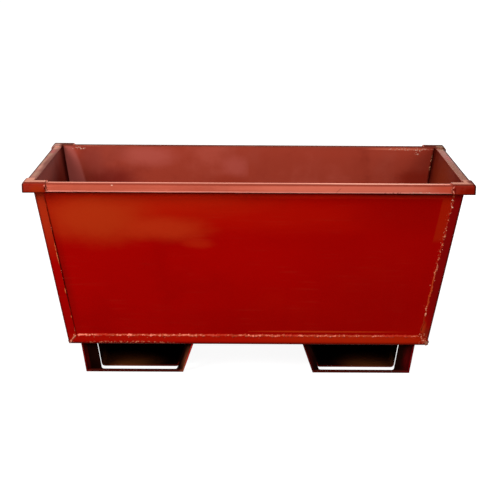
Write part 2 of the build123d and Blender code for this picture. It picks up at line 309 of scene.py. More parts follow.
@dataclass
class MeshStock:
    """Grids of points gathered into one mesh, with values at the points that materials read."""

    points: list[Points] = field(default_factory=list)
    faces: list[list[int]] = field(default_factory=list)
    values: dict[str, list[Points]] = field(default_factory=dict)
    count: int = 0

    def _take(self, points: Points, values: dict[str, Points]) -> Points:
        """Add points with their values.

        Args:
            points: a grid of points.
            values: named values that suit the grid.

        Returns:
            The number of each point, in the shape of the grid.
        """
        shape = points.shape[:-1]
        index = self.count + np.arange(np.prod(shape)).reshape(shape)
        self.points.append(points.reshape(-1, 3))
        self.count += index.size
        for name, value in values.items():
            self.values.setdefault(name, []).append(np.broadcast_to(value, shape).ravel())
        return index

    def sweep(self, rings: Points, values: dict[str, Points]) -> None:
        """Add a section carried along a path: stations x ring points x 3, closed at both ends."""
        index = self._take(rings, values)
        self.faces += ring_quads(index).tolist() + [index[0, ::-1].tolist(), index[-1].tolist()]

    def slab(self, outer: Points, inner: Points) -> None:
        """Add a plate between two grids of the same shape, closed along its edges and marked on its inside.

        Args:
            outer: rows x columns x 3 points of the outer face.
            inner: the same of the inner face.
        """
        columns = outer.shape[1]
        ring = np.concatenate([outer, inner[:, ::-1]], axis=1)
        index = self._take(ring, {INSIDE_MARK: np.repeat([0.0, 1.0], columns)})
        front, behind = index[:, :columns], index[:, columns:][:, ::-1]
        low = np.stack([front[0, 1:], front[0, :-1], behind[0, :-1], behind[0, 1:]], axis=-1)
        high = np.stack([front[-1, :-1], front[-1, 1:], behind[-1, 1:], behind[-1, :-1]], axis=-1)
        self.faces += np.concatenate([ring_quads(index), low, high]).tolist()

    def domes(self, rings: Points, tops: Points, values: dict[str, Points]) -> None:
        """Add many small domes of the same build.

        Args:
            rings: domes x rings x ring points x 3, from the foot upwards.
            tops: domes x 3, the top point of each.
            values: named values, one for each dome.
        """
        domes, levels, around = rings.shape[:3]
        block = np.concatenate([rings.reshape(domes, -1, 3), tops[:, None, :]], axis=1)
        starts = self._take(block, {name: value[:, None] for name, value in values.items()})[:, :1]
        ring = np.arange(levels * around).reshape(levels, around)
        crown = np.stack([ring[-1], np.roll(ring[-1], -1), np.full(around, levels * around)], axis=-1)
        for faces in (ring_quads(ring), crown):
            self.faces += (faces + starts[:, None]).reshape(-1, faces.shape[1]).tolist()
        self.faces += (ring[0, ::-1] + starts).tolist()

    def piece(self, name: str, slot: Slot, material: Material, *nodes: str) -> None:
        """Make the piece from what was gathered, riding on the body.

        Args:
            name: the piece's name.
            slot: not used.
            material: its finish.
            nodes: the nodes that it stands for, if any.
        """
        mesh = bpy.data.meshes.new(name)
        mesh.from_pydata(np.concatenate(self.points).tolist(), [], self.faces)
        turn_outwards(mesh)
        for label, rows in self.values.items():
            attribute = mesh.attributes.new(label, "FLOAT", "POINT")
            attribute.data.foreach_set("value", np.concatenate(rows).astype(np.float32))
        mesh.shade_smooth()
        mesh.set_sharp_from_angle(angle=SMOOTH_ANGLE)
        mesh.materials.append(material)
        piece = bpy.data.objects.new(name, mesh)
        bpy.context.scene.collection.objects.link(piece)
        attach(piece, BODY)
        if nodes:
            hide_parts(*nodes)
        log.info("%s: %d points, %d faces", name, self.count, len(self.faces))


@dataclass
class LongWalls:
    """The front and rear walls: thin leaning sheets, a little wavy from the heat of the welds."""

    sizes: TubSizes
    material: Material
    columns: int = 150
    rows: int = 64
    bulge: float = 0.0011
    bulge_length: float = 0.34
    pucker: float = 0.00035
    pucker_length: float = 0.055
    pucker_reach: float = 0.06
    held_share: float = 0.93

    def waves(self, x: Points, z: Points, seed: int) -> Points:
        """How far the sheet swells out at each point.

        Wide soft bumps that fade towards the held edges, plus short puckers close to the bottom weld.

        Args:
            x: place along the tub.
            z: height.
            seed: number of the wall's own waves.

        Returns:
            Distances in metres, positive outwards.
        """
        size = self.sizes
        bumps = Wander(seed)
        sideways = np.abs(x) / size.seam_x(z)
        upwards = (z - size.flange_top) / (size.wall_top - size.flange_top)
        free = 1.0 - smooth_step(sideways, self.held_share, 1.0)
        free *= smooth_step(upwards, 0.0, 1.0 - self.held_share)
        free *= 1.0 - smooth_step(upwards, self.held_share, 1.0)
        wide = self.bulge * bumps.sheet(x, z, self.bulge_length)
        near_weld = np.exp(-(z - size.flange_top) / self.pucker_reach)
        short = self.pucker * near_weld * bumps.curve(x, self.pucker_length)
        return free * (wide + short)

    def build(self) -> None:
        """Make both walls: x = u * half length at z, y = half width at z, moved out by the waves."""
        size = self.sizes
        low = size.flange_top - size.wall_lap
        z = np.linspace(low, size.wall_top, self.rows)[:, None]
        x = np.linspace(-1.0, 1.0, self.columns)[None, :] * (size.seam_x(z) + size.wall_lap)
        z = np.broadcast_to(z, x.shape)
        for name, facing, seed in (("front_wall", FRONT, 11), ("rear_wall", REAR, 12)):
            swell = self.waves(x, z, seed)[..., None] * size.wall_outward(facing)
            half = size.sheet_half_width(z)
            faces = (
                np.stack([x, facing * (half - sheets * size.across), z], axis=-1) + swell
                for sheets in (1, 2)
            )
            stock = MeshStock()
            stock.slab(*faces)
            stock.piece(f"{name}_sheet", Slot.BODY, self.material, name)


@dataclass
class RimRails:
    """The four rim rails: strips folded to a top flange, a face and a short return. Finishes go by side."""

    sizes: TubSizes
    finishes: dict[str, Material]
    first_seed: int = 21
    plate: float = 0.003
    lip: float = 0.009
    outer_bend: float = 0.0045
    foot_bend: float = 0.002
    inner_bend: float = 0.0015
    edge_round: float = 0.0007
    stations: int = 220
    sway: float = 0.0007
    sway_length: float = 0.31
    dent: float = 0.0004
    dent_length: float = 0.06
    held: Span = (0.86, 0.93)

    def outline(self) -> Outline:
        """Section of a rail, by corners: out from its face, up, bend, and how worn it is, which also places a
        painted highlight.

        Returns:
            The section.
        """
        size = self.sizes
        top, bottom, width, plate = size.rail_top, size.rail_bottom, size.rim_width, self.plate
        edge, inner = self.edge_round, self.inner_bend
        corners = [
            (-width, top, edge, 0.7),
            (-width, top - plate, edge, 0.3),
            (-plate, top - plate, inner, 0.0),
            (-plate, bottom + plate, inner, 0.0),
            (-self.lip, bottom + plate, edge, 0.2),
            (-self.lip, bottom, edge, 0.3),
            (0.0, bottom, self.foot_bend, 1.0),
            (0.0, top, self.outer_bend, 1.0),
        ]
        return Outline.rounded(corners)

    def build(self) -> None:
        """Carry the section along each side: along = t * (half length + out), so the ends are mitred."""
        size = self.sizes
        outline = self.outline()
        out, up = outline.points[:, 0], outline.points[:, 1]
        drop = (size.rail_top - up) / (size.rail_top - size.rail_bottom)
        share = np.linspace(-1.0, 1.0, self.stations)
        halves = (size.rail_half_length, size.rail_half_width)
        for order, (side, sign) in enumerate(SIGNS.items()):
            is_long = side in ("front", "rear")
            half, face = halves if is_long else halves[::-1]
            along = share[:, None] * (half + out[None, :])
            bends = Wander(self.first_seed + order)
            middle = share * half
            free = 1.0 - smooth_step(np.abs(share), *self.held)
            sway = free * (self.sway * bends.curve(middle, self.sway_length) - self.sway)
            sway += free * self.dent * bends.curve(middle, self.dent_length)
            reach = sign * (face + out[None, :] + sway[:, None] * drop[None, :])
            height = np.broadcast_to(up[None, :], along.shape)
            axes = [along, reach, height] if is_long else [reach, along, height]
            stock = MeshStock()
            stock.sweep(np.stack(axes, axis=-1), {"wear": outline.wear})
            stock.piece(f"{side}_rim_rail_strip", Slot.RIM, self.finishes[side], f"{side}_rim_rail")


@dataclass
class CornerCaps:
    """The four corner caps: angle plates bent round the corners, over the ends of the rails."""

    sizes: TubSizes
    material: Material
    first_seed: int = 31
    length: float = 0.062
    outer_bend: float = 0.0085
    inner_bend: float = 0.0045
    edge_round: float = 0.0009
    foot_round: float = 0.0013
    corner_round: float = 0.005
    leg_steps: int = 26
    arc_steps: int = 9
    dent: float = 0.0003
    dent_length: float = 0.035

    def outline(self) -> Outline:
        """Section of a cap, by corners: out from the rail's face, up, bend, and how worn it is, which also
        places a painted highlight.

        Returns:
            The section.
        """
        size = self.sizes
        top, bottom, plate = size.cap_top, size.cap_bottom, size.cap_plate
        edge = self.edge_round
        corners = [
            (-size.rim_width, top, edge, 0.8),
            (-size.rim_width, top - plate, edge, 0.3),
            (0.0, top - plate, self.inner_bend, 0.0),
            (0.0, bottom, edge, 0.3),
            (plate, bottom, self.foot_round, 0.8),
            (plate, top, self.outer_bend, 1.0),
        ]
        return Outline.rounded(corners)

    def paths(self, out: Points) -> tuple[Points, Points]:
        """Plan paths of all section points round the corner at +X and +Y.

        A point that lies out from the rail's face follows two straight legs. Their corner is an arc
        about one shared centre, of the radius that the point's distance leaves, or a plain mitre.

        Args:
            out: how far each section point lies out from the rail's face.

        Returns:
            x and y, as stations x section points.
        """
        size = self.sizes
        radius = np.maximum(out - size.cap_plate + self.corner_round, 0.0)
        face_x, face_y = size.rail_half_length + out, size.rail_half_width + out
        turn_x, turn_y = face_x - radius, face_y - radius
        leg = np.linspace(0.0, 1.0, self.leg_steps)[:, None]
        angle = np.linspace(0.0, pi / 2, self.arc_steps + 2)[1:-1, None]
        start_x = np.full_like(out, size.half_length - self.length)
        start_y = np.full_like(out, size.half_width - self.length)
        x = [start_x + leg * (turn_x - start_x), turn_x + radius * np.sin(angle), face_x + 0.0 * leg]
        y = [face_y + 0.0 * leg, turn_y + radius * np.cos(angle), turn_y + leg * (start_y - turn_y)]
        return np.concatenate(x), np.concatenate(y)

    def build(self) -> None:
        """Make the four caps, each with its own small dents, and mirror them to their corners."""
        outline = self.outline()
        x, y = self.paths(outline.points[:, 0])
        z = np.broadcast_to(outline.points[:, 1], x.shape)
        corners = [(end, side) for end in ("front", "rear") for side in ("left", "right")]
        for order, (end, side) in enumerate(corners):
            name = f"{end}_{side}_corner_cap"
            hammered = Wander(self.first_seed + order)
            around = np.linspace(0.0, 2 * self.length, len(x))
            dents = self.dent * (hammered.curve(around, self.dent_length) - 1.0)[:, None]
            low = (self.sizes.cap_top - z) / (self.sizes.cap_top - self.sizes.cap_bottom)
            stock = MeshStock()
            points = [SIGNS[side] * (x + dents * low), SIGNS[end] * (y + dents * low), z]
            stock.sweep(np.stack(points, axis=-1), {"wear": outline.wear})
            stock.piece(f"{name}_plate", Slot.CAP, self.material, name)


@dataclass(frozen=True)
class WeldRun:
    """One straight weld run: a line, the two feet of its section, and which way its crown stands."""

    start: Points
    end: Points
    first_foot: Points
    second_foot: Points
    crown: Points
    habit: WeldHabit = WeldHabit.EVEN
    pale: Span = (0.3, 0.3)
    sway: float = 1.0

    def mirrored(self, x: float, y: float, **changes: object) -> "WeldRun":
        """The same run on another side, with x and y multiplied by 1 or -1, and other values changed."""
        places = ("start", "end", "first_foot", "second_foot", "crown")
        return replace(self, **{name: getattr(self, name) * (x, y, 1.0) for name in places}, **changes)


@dataclass
class WeldBead:
    """The shape of hand laid runs: a round bead with crescent ripples, uneven in width and height."""

    step: float = 0.0008
    fewest_steps: int = 12
    pitch: float = 0.0036
    pitch_wander: float = 0.0014
    bow: float = 0.45
    ripple: float = 0.0004
    ripple_edge: float = 0.7
    ripple_fade: float = 0.6
    crown: float = 0.22
    crown_shape: float = 0.8
    sink: float = 0.0002
    back_sink: float = 0.0006
    overrun: float = 0.06
    taper: float = 0.004
    across: int = 9
    sway_length: float = 0.016
    line_sway_length: float = 0.048
    sway: float = 0.0006
    tack_length: float = 0.055
    tack_rest: float = 0.15
    tack_edge: Span = (0.5, 0.9)
    blobs_per_metre: float = 70.0
    blob_length: float = 0.0022
    blob_rise: Span = (0.05, 0.4)
    between_blobs: float = 0.85
    evenness: float = 0.08
    unevenness: float = 0.12

    def presence(self, run: WeldRun, along: Points, bends: Wander) -> tuple[Points, float]:
        """How much of the bead is there along a run.

        Args:
            run: the run.
            along: distances from its start.
            bends: the run's own random curves.

        Returns:
            The bead's size along the run, and how uneven it is.
        """
        length = along[-1]
        ease = np.sqrt(np.clip(np.minimum(along, length - along) / self.taper, 0.0, 1.0))
        if run.habit is WeldHabit.TACKED:
            tacks = smooth_step(bends.curve(along, self.tack_length), *self.tack_edge)
            return ease * (self.tack_rest + (1.0 - self.tack_rest) * tacks), self.unevenness
        if run.habit is WeldHabit.ROUGH:
            count = max(int(self.blobs_per_metre * length), 1)
            middles = bends.rng.uniform(0.0, length, count)
            heights = bends.rng.uniform(*self.blob_rise, count)
            bumps = np.exp(-(((along[:, None] - middles) / self.blob_length) ** 2)) @ heights
            return ease * (self.between_blobs + bumps), self.unevenness
        return ease, self.evenness

    def lay(self, stock: MeshStock, run: WeldRun, seed: int) -> None:
        """Add one run to a mesh.

        Across the run, a point goes straight from foot to foot and is lifted by 4f(1 - f) of the crown.
        Along it, ripples of |sin| shape lag towards the feet, which bends them into crescents.

        Args:
            stock: the mesh to add to.
            run: the run to lay.
            seed: number of the run's own unevenness.
        """
        length = float(np.linalg.norm(run.end - run.start))
        along = np.linspace(0.0, length, max(int(length / self.step), self.fewest_steps))
        bends = Wander(seed)
        size, uneven = self.presence(run, along, bends)
        first, second, swell = (
            size * (1.0 + uneven * bends.curve(along, self.sway_length)) for _ in range(3)
        )
        share = np.linspace(-self.overrun, 1.0 + self.overrun, self.across)[None, :]
        lift = np.clip(4.0 * share * (1.0 - share), 0.0, 1.0)
        stretch = along + self.pitch_wander * bends.curve(along, self.sway_length)
        phase = stretch[:, None] / self.pitch - self.bow * (1.0 - lift)
        ripple = np.abs(np.sin(pi * phase)) ** self.ripple_edge * lift**self.ripple_fade
        reach = self.crown * np.linalg.norm(run.first_foot - run.second_foot)
        height = reach * swell[:, None] * lift**self.crown_shape + self.ripple * size[:, None] * ripple
        height -= self.sink * (1.0 - lift)
        line = run.start + (along / length)[:, None] * (run.end - run.start)
        if run.habit is WeldHabit.ROUGH:
            sway = run.sway * self.sway * size * bends.curve(along, self.line_sway_length)
            line += sway[:, None] * unit(run.second_foot - run.first_foot)
        chord = (1.0 - share)[..., None] * (first[:, None] * run.first_foot)[:, None, :]
        chord += share[..., None] * (second[:, None] * run.second_foot)[:, None, :]
        crest = line[:, None, :] + chord + height[..., None] * run.crown
        back = line[:, None, :] - run.crown * self.back_sink
        # Crest value: high on the crown and ripples, where the finish lays pale metal and painted highlight,
        # low where it lays painted shade
        tone = np.concatenate([0.5 * lift**2 + 0.5 * ripple, np.zeros_like(ripple[:, :1])], axis=1)
        pale = np.linspace(*run.pale, len(along))[:, None]
        stock.sweep(np.concatenate([crest, back], axis=1), {"crest": tone, "pale": pale})


@dataclass
class Welds:
    """All weld runs of the tub, each set standing for its node. Some sets have a finish of their own."""

    sizes: TubSizes
    finish: Material
    own: dict[str, Material]
    bead: WeldBead = field(default_factory=WeldBead)
    seam_leg: float = 0.0034
    seam_cover: float = 0.0016
    tack_leg: float = 0.0018
    tack_cover: float = 0.0012
    floor_leg: float = 0.0042
    floor_cover: float = 0.0026
    fillet_leg: float = 0.005
    cap_leg: float = 0.0056
    mitre_half: float = 0.0036
    corner_gap: float = 0.003
    stitch: float = 0.06
    stitches_long: int = 6
    stitches_short: int = 3
    rim_bend: float = 0.0045
    seam_pale: Span = (0.1, 0.9)
    seam_sway: float = 2.5
    floor_pale: Span = (0.85, 0.75)
    mitre_pale: Span = (0.9, 0.7)
    cap_pale: Span = (0.7, 0.7)
    seeds_per_set: int = 1000

    def lapped(self, x: float, z: float) -> Points:
        """A point on the face of the front wall."""
        return np.array([x, FRONT * (self.sizes.sheet_half_width(z) - self.sizes.across), z])

    def flange(self, x: float, z: float) -> Points:
        """A point on the face of the flanges round the front wall."""
        return np.array([x, FRONT * self.sizes.sheet_half_width(z), z])

    def corner_seam(self, leg: float, cover: float) -> WeldRun:
        """The run up the edge of the right end wall's front flange.

        Args:
            leg: how far it reaches onto the wall.
            cover: how far it reaches onto the flange.

        Returns:
            The run, which others are mirrored from.
        """
        size = self.sizes
        low, high = size.flange_top + self.floor_leg, size.rail_bottom
        start = self.lapped(size.seam_x(low), low)
        end = self.lapped(size.seam_x(high), high)
        outward = size.wall_outward(FRONT)
        feet = np.array([[-leg, 0.0, 0.0], [cover, 0.0, 0.0]])
        return WeldRun(start, end, feet[0], feet[1] + outward * size.sheet, outward)

    def corner_seams(self) -> list[WeldRun]:
        """Runs up the edges of the end walls' flanges. The front left one is only tacked.

        Returns:
            The runs.
        """
        full = self.corner_seam(self.seam_leg, self.seam_cover)
        thin = self.corner_seam(self.tack_leg, self.tack_cover)
        right = replace(full, habit=WeldHabit.ROUGH, pale=self.seam_pale, sway=self.seam_sway)
        left = thin.mirrored(-1.0, 1.0, habit=WeldHabit.TACKED, pale=(0.0, 0.0))
        return [right, left, full.mirrored(1.0, -1.0), full.mirrored(-1.0, -1.0)]

    def floor_seams(self) -> list[WeldRun]:
        """Runs along the top edges of the floor's flanges.

        Returns:
            The runs.
        """
        size = self.sizes
        half = size.seam_x(size.flange_top) - self.seam_leg
        start = self.lapped(-half, size.flange_top)
        end = self.lapped(half, size.flange_top)
        outward, upward = size.wall_outward(FRONT), size.wall_up(FRONT)
        cover = outward * size.sheet - upward * self.floor_cover
        feet = (cover, upward * self.floor_leg)
        run = WeldRun(start, end, *feet, outward, WeldHabit.ROUGH, self.floor_pale)
        return [run, run.mirrored(1.0, -1.0, habit=WeldHabit.EVEN)]

    def mitres(self) -> list[WeldRun]:
        """Runs on the mitres at the bottom corners.

        Returns:
            The runs.
        """
        size = self.sizes
        low = size.floor_bottom + self.corner_gap
        share = self.corner_gap / (size.flange_top - size.floor_bottom)
        bottom_x, top_x = size.sheet_half_length(size.floor_bottom), size.seam_x(size.flange_top)
        start = self.flange(bottom_x + (top_x - bottom_x) * share, low)
        end = self.flange(top_x, size.flange_top)
        outward = size.wall_outward(FRONT)
        sideways = unit(np.cross(end - start, outward)) * self.mitre_half
        run = WeldRun(start, end, -sideways, sideways, outward, WeldHabit.ROUGH, self.mitre_pale)
        return [run.mirrored(side, facing) for facing in (1.0, -1.0) for side in (1.0, -1.0)]

    def floor_ends(self) -> list[WeldRun]:
        """Runs inside, where the end walls stand on the floor.

        Returns:
            The runs.
        """
        size = self.sizes
        low = size.floor_bottom + size.sheet
        x = size.sheet_half_length(low) - size.across
        half = size.sheet_half_width(low) - size.across - size.sheet - self.fillet_leg
        inwards = np.array([-self.fillet_leg, 0.0, 0.0])
        upwards = unit(np.array([size.slope, 0.0, 1.0])) * self.fillet_leg
        ends = np.array([[x, -half, low], [x, half, low]])
        run = WeldRun(*ends, inwards, upwards, unit(inwards + upwards))
        return [run, run.mirrored(-1.0, 1.0)]

    def stitched(self, start: Points, end: Points, count: int) -> list[tuple[Points, Points]]:
        """Evenly spread stitches.

        Args:
            start: where the row of stitches starts.
            end: where it ends.
            count: how many there are.

        Returns:
            Both ends of each stitch.
        """
        along = unit(end - start)
        middles = np.linalg.norm(end - start) / count * (np.arange(count) + 0.5)
        half = along * self.stitch / 2
        return [(start + along * middle - half, start + along * middle + half) for middle in middles]

    def rim_stitches(self) -> list[WeldRun]:
        """Stitches under the rails' top flanges, against the walls.

        Returns:
            The runs.
        """
        size, runs, top = self.sizes, [], self.sizes.wall_top
        along_x, along_y, up = np.eye(3)
        wall_y, end_x = size.sheet_half_width(top) - size.across, size.sheet_half_length(top)
        short_half = size.sheet_half_width(top) - size.end_flange
        sides = (
            (along_y, wall_y, size.seam_x(top), self.stitches_long),
            (along_x, end_x, short_half, self.stitches_short),
        )
        for outward, out, half, count in sides:
            sideways = np.cross(outward, up)
            corner = outward * out + up * top
            down = -outward * sin(size.angle) - up * cos(size.angle)
            feet = (outward * self.fillet_leg, down * self.fillet_leg)
            for start, end in self.stitched(corner - sideways * half, corner + sideways * half, count):
                run = WeldRun(start, end, *feet, unit(feet[0] + feet[1]))
                runs += [run, run.mirrored(-1.0, -1.0)]
        return runs

    def cap_ends(self) -> list[WeldRun]:
        """Runs over the ends of the caps, across the rails' top flanges and down their faces.

        Returns:
            The runs.
        """
        size, runs = self.sizes, []
        along_x, along_y, up = np.eye(3)
        faces = (
            (along_y, along_x, size.rail_half_width, size.half_length),
            (along_x, along_y, size.rail_half_length, size.half_width),
        )
        for outward, sideways, out, half in faces:
            cap_end = sideways * (half - CornerCaps.length)
            inner = cap_end + outward * (out - size.rim_width) + up * size.rail_top
            outer = cap_end + outward * (out - self.rim_bend) + up * size.rail_top
            upper = cap_end + outward * out + up * (size.rail_top - self.rim_bend)
            lower = cap_end + outward * out + up * (size.rail_bottom + self.rim_bend / 2)
            away = -sideways * self.cap_leg
            for start, end, rise in ((inner, outer, up), (upper, lower, outward)):
                crown = unit(rise - sideways)
                feet = (rise * size.cap_plate, away)
                run = WeldRun(start, end, *feet, crown, WeldHabit.ROUGH, self.cap_pale)
                runs += [run.mirrored(x, y) for x in (1.0, -1.0) for y in (1.0, -1.0)]
        return runs

    def build(self) -> None:
        """Lay every set of runs as one piece that stands for its node."""
        sets = {
            "corner_seam_welds": self.corner_seams(),
            "floor_seam_welds": self.floor_seams(),
            "mitre_welds": self.mitres(),
            "floor_end_welds": self.floor_ends(),
            "rim_rail_welds": self.rim_stitches(),
            "corner_cap_welds": self.cap_ends(),
        }
        for order, (name, runs) in enumerate(sets.items()):
            stock = MeshStock()
            for index, run in enumerate(runs):
                self.bead.lay(stock, run, seed=self.seeds_per_set * (order + 1) + index)
            stock.piece(f"{name}_beads", Slot.WELD, self.own.get(name, self.finish), name)


@dataclass
class WeldSpatter:
    """Frozen drops of weld metal beside the roughest runs, and lumps built up at the bottom corners."""

    sizes: TubSizes
    drop_finish: Material
    lump_finish: Material
    rng: np.random.Generator = field(default_factory=partial(np.random.default_rng, seed=77))
    around: int = 7
    levels: tuple[float, ...] = (-0.25, 0.2, 0.62)
    flatness: float = 0.6
    flatness_range: Span = (0.7, 1.3)
    crest_range: Span = (0.3, 1.0)
    pale_range: Span = (0.1, 1.0)
    drop: Span = (0.0005, 0.0014)
    seam_drops: int = 110
    seam_crowding: Span = (2.4, 0.8)
    seam_scatter: Span = (-0.002, 0.003)
    floor_drops: int = 60
    floor_crowding: Span = (0.9, 1.6)
    floor_scatter: Span = (-0.001, 0.004)
    corner_drops: tuple[int, int] = (8, 34)
    corner_drop: Span = (0.0007, 0.0022)
    corner_out: float = 0.006
    corner_scatter: float = 0.008
    corner_rise: Span = (0.004, 0.008)
    lumps: tuple[int, int] = (3, 11)
    lump: Span = (0.002, 0.0042)
    lump_rise: Span = (0.003, 0.011)
    lump_inset: Span = (0.0005, 0.008)
    rear_share: float = 0.5

    def drop_beds(self, share: float) -> Points:
        """Places and sizes of the drops on one face.

        Args:
            share: how many drops there are, of the most.

        Returns:
            Rows of x, height and radius.
        """
        size, rng, rows = self.sizes, self.rng, []
        low, bottom, high = size.flange_top, size.floor_bottom, size.rail_bottom
        seam = size.seam_x(low)
        up = low + (high - low) * rng.beta(*self.seam_crowding, int(self.seam_drops * share))
        rows.append((size.seam_x(up) + rng.normal(*self.seam_scatter, len(up)), up, self.drop))
        along = -seam + 2 * seam * rng.beta(*self.floor_crowding, int(self.floor_drops * share))
        rows.append((along, low + rng.normal(*self.floor_scatter, len(along)), self.drop))
        lowest, highest = np.array([bottom, low]) + self.corner_rise
        for side, most in zip(SIDES, self.corner_drops):
            middle = side * (seam + self.corner_out)
            beside = rng.normal(middle, self.corner_scatter, int(most * share))
            rows.append((beside, rng.uniform(lowest, highest, len(beside)), self.corner_drop))
        sized = [(x, z, rng.uniform(*span, len(x))) for x, z, span in rows]
        return np.concatenate([np.stack(row, axis=-1) for row in sized])

    def lump_beds(self, share: float) -> Points:
        """Places and sizes of the lumps on one face.

        Args:
            share: how many lumps there are, of the most.

        Returns:
            Rows of x, height and radius.
        """
        size, rng, rows = self.sizes, self.rng, []
        for side, most in zip(SIDES, self.lumps):
            count = int(most * share)
            rise = size.floor_bottom + rng.uniform(*self.lump_rise, count)
            inset = rng.uniform(*self.lump_inset, count)
            place = side * (size.sheet_half_length(rise) - inset)
            rows.append(np.stack([place, rise, rng.uniform(*self.lump, count)], axis=-1))
        return np.concatenate(rows)

    def heap(self, stock: MeshStock, beds: Points, facing: float) -> None:
        """Make each drop a low dome: rings of radius * sqrt(1 - level^2), stacked along the face's normal.

        Args:
            stock: the mesh to add to.
            beds: rows of x, height and radius.
            facing: the face that they lie on.
        """
        size, rng = self.sizes, self.rng
        x, z, radius = beds.T
        level = np.array(self.levels)
        width = np.sqrt(1.0 - np.clip(level, 0.0, 1.0) ** 2)
        angle = np.linspace(0.0, 2 * pi, self.around, endpoint=False)
        behind = (np.abs(x) < size.seam_x(z)) & (z > size.flange_top)
        y = facing * (size.sheet_half_width(z) - np.where(behind, size.across, 0.0))
        foot = np.stack([x, y, z], axis=-1)
        outward, upward = size.wall_outward(facing), size.wall_up(facing)
        height = radius * self.flatness * rng.uniform(*self.flatness_range, len(x))
        circle = np.outer(np.cos(angle), (1.0, 0.0, 0.0)) + np.outer(np.sin(angle), upward)
        wide = np.multiply.outer(np.outer(radius, width), circle)
        rise = np.multiply.outer(np.outer(height, level), outward)
        rings = foot[:, None, None, :] + wide + rise[:, :, None, :]
        spans = {"crest": self.crest_range, "pale": self.pale_range}
        tones = {name: rng.uniform(*span, len(x)) for name, span in spans.items()}
        stock.domes(rings, foot + np.outer(height, outward), tones)

    def build(self) -> None:
        """Make the drops one piece and the lumps another."""
        pieces = (
            ("weld_spatter", self.drop_beds, self.drop_finish),
            ("corner_lumps", self.lump_beds, self.lump_finish),
        )
        for name, beds, finish in pieces:
            stock = MeshStock()
            for facing, share in ((FRONT, 1.0), (REAR, self.rear_share)):
                self.heap(stock, beds(share), facing)
            stock.piece(name, Slot.WELD, finish)


Feed = Socket | float | tuple
NOISE_MIDDLE = 0.5


class Grain(NamedTuple):
    """A noise texture: its cells to a metre, its finer layers, and how strong those are."""

    scale: float
    layers: float = 3.0
    strength: float = 0.5


class Tones(NamedTuple):
    """A paint's own colour, and the deeper and the brighter one that it drifts to."""

    colour: Colour
    deep: Colour
    bright: Colour


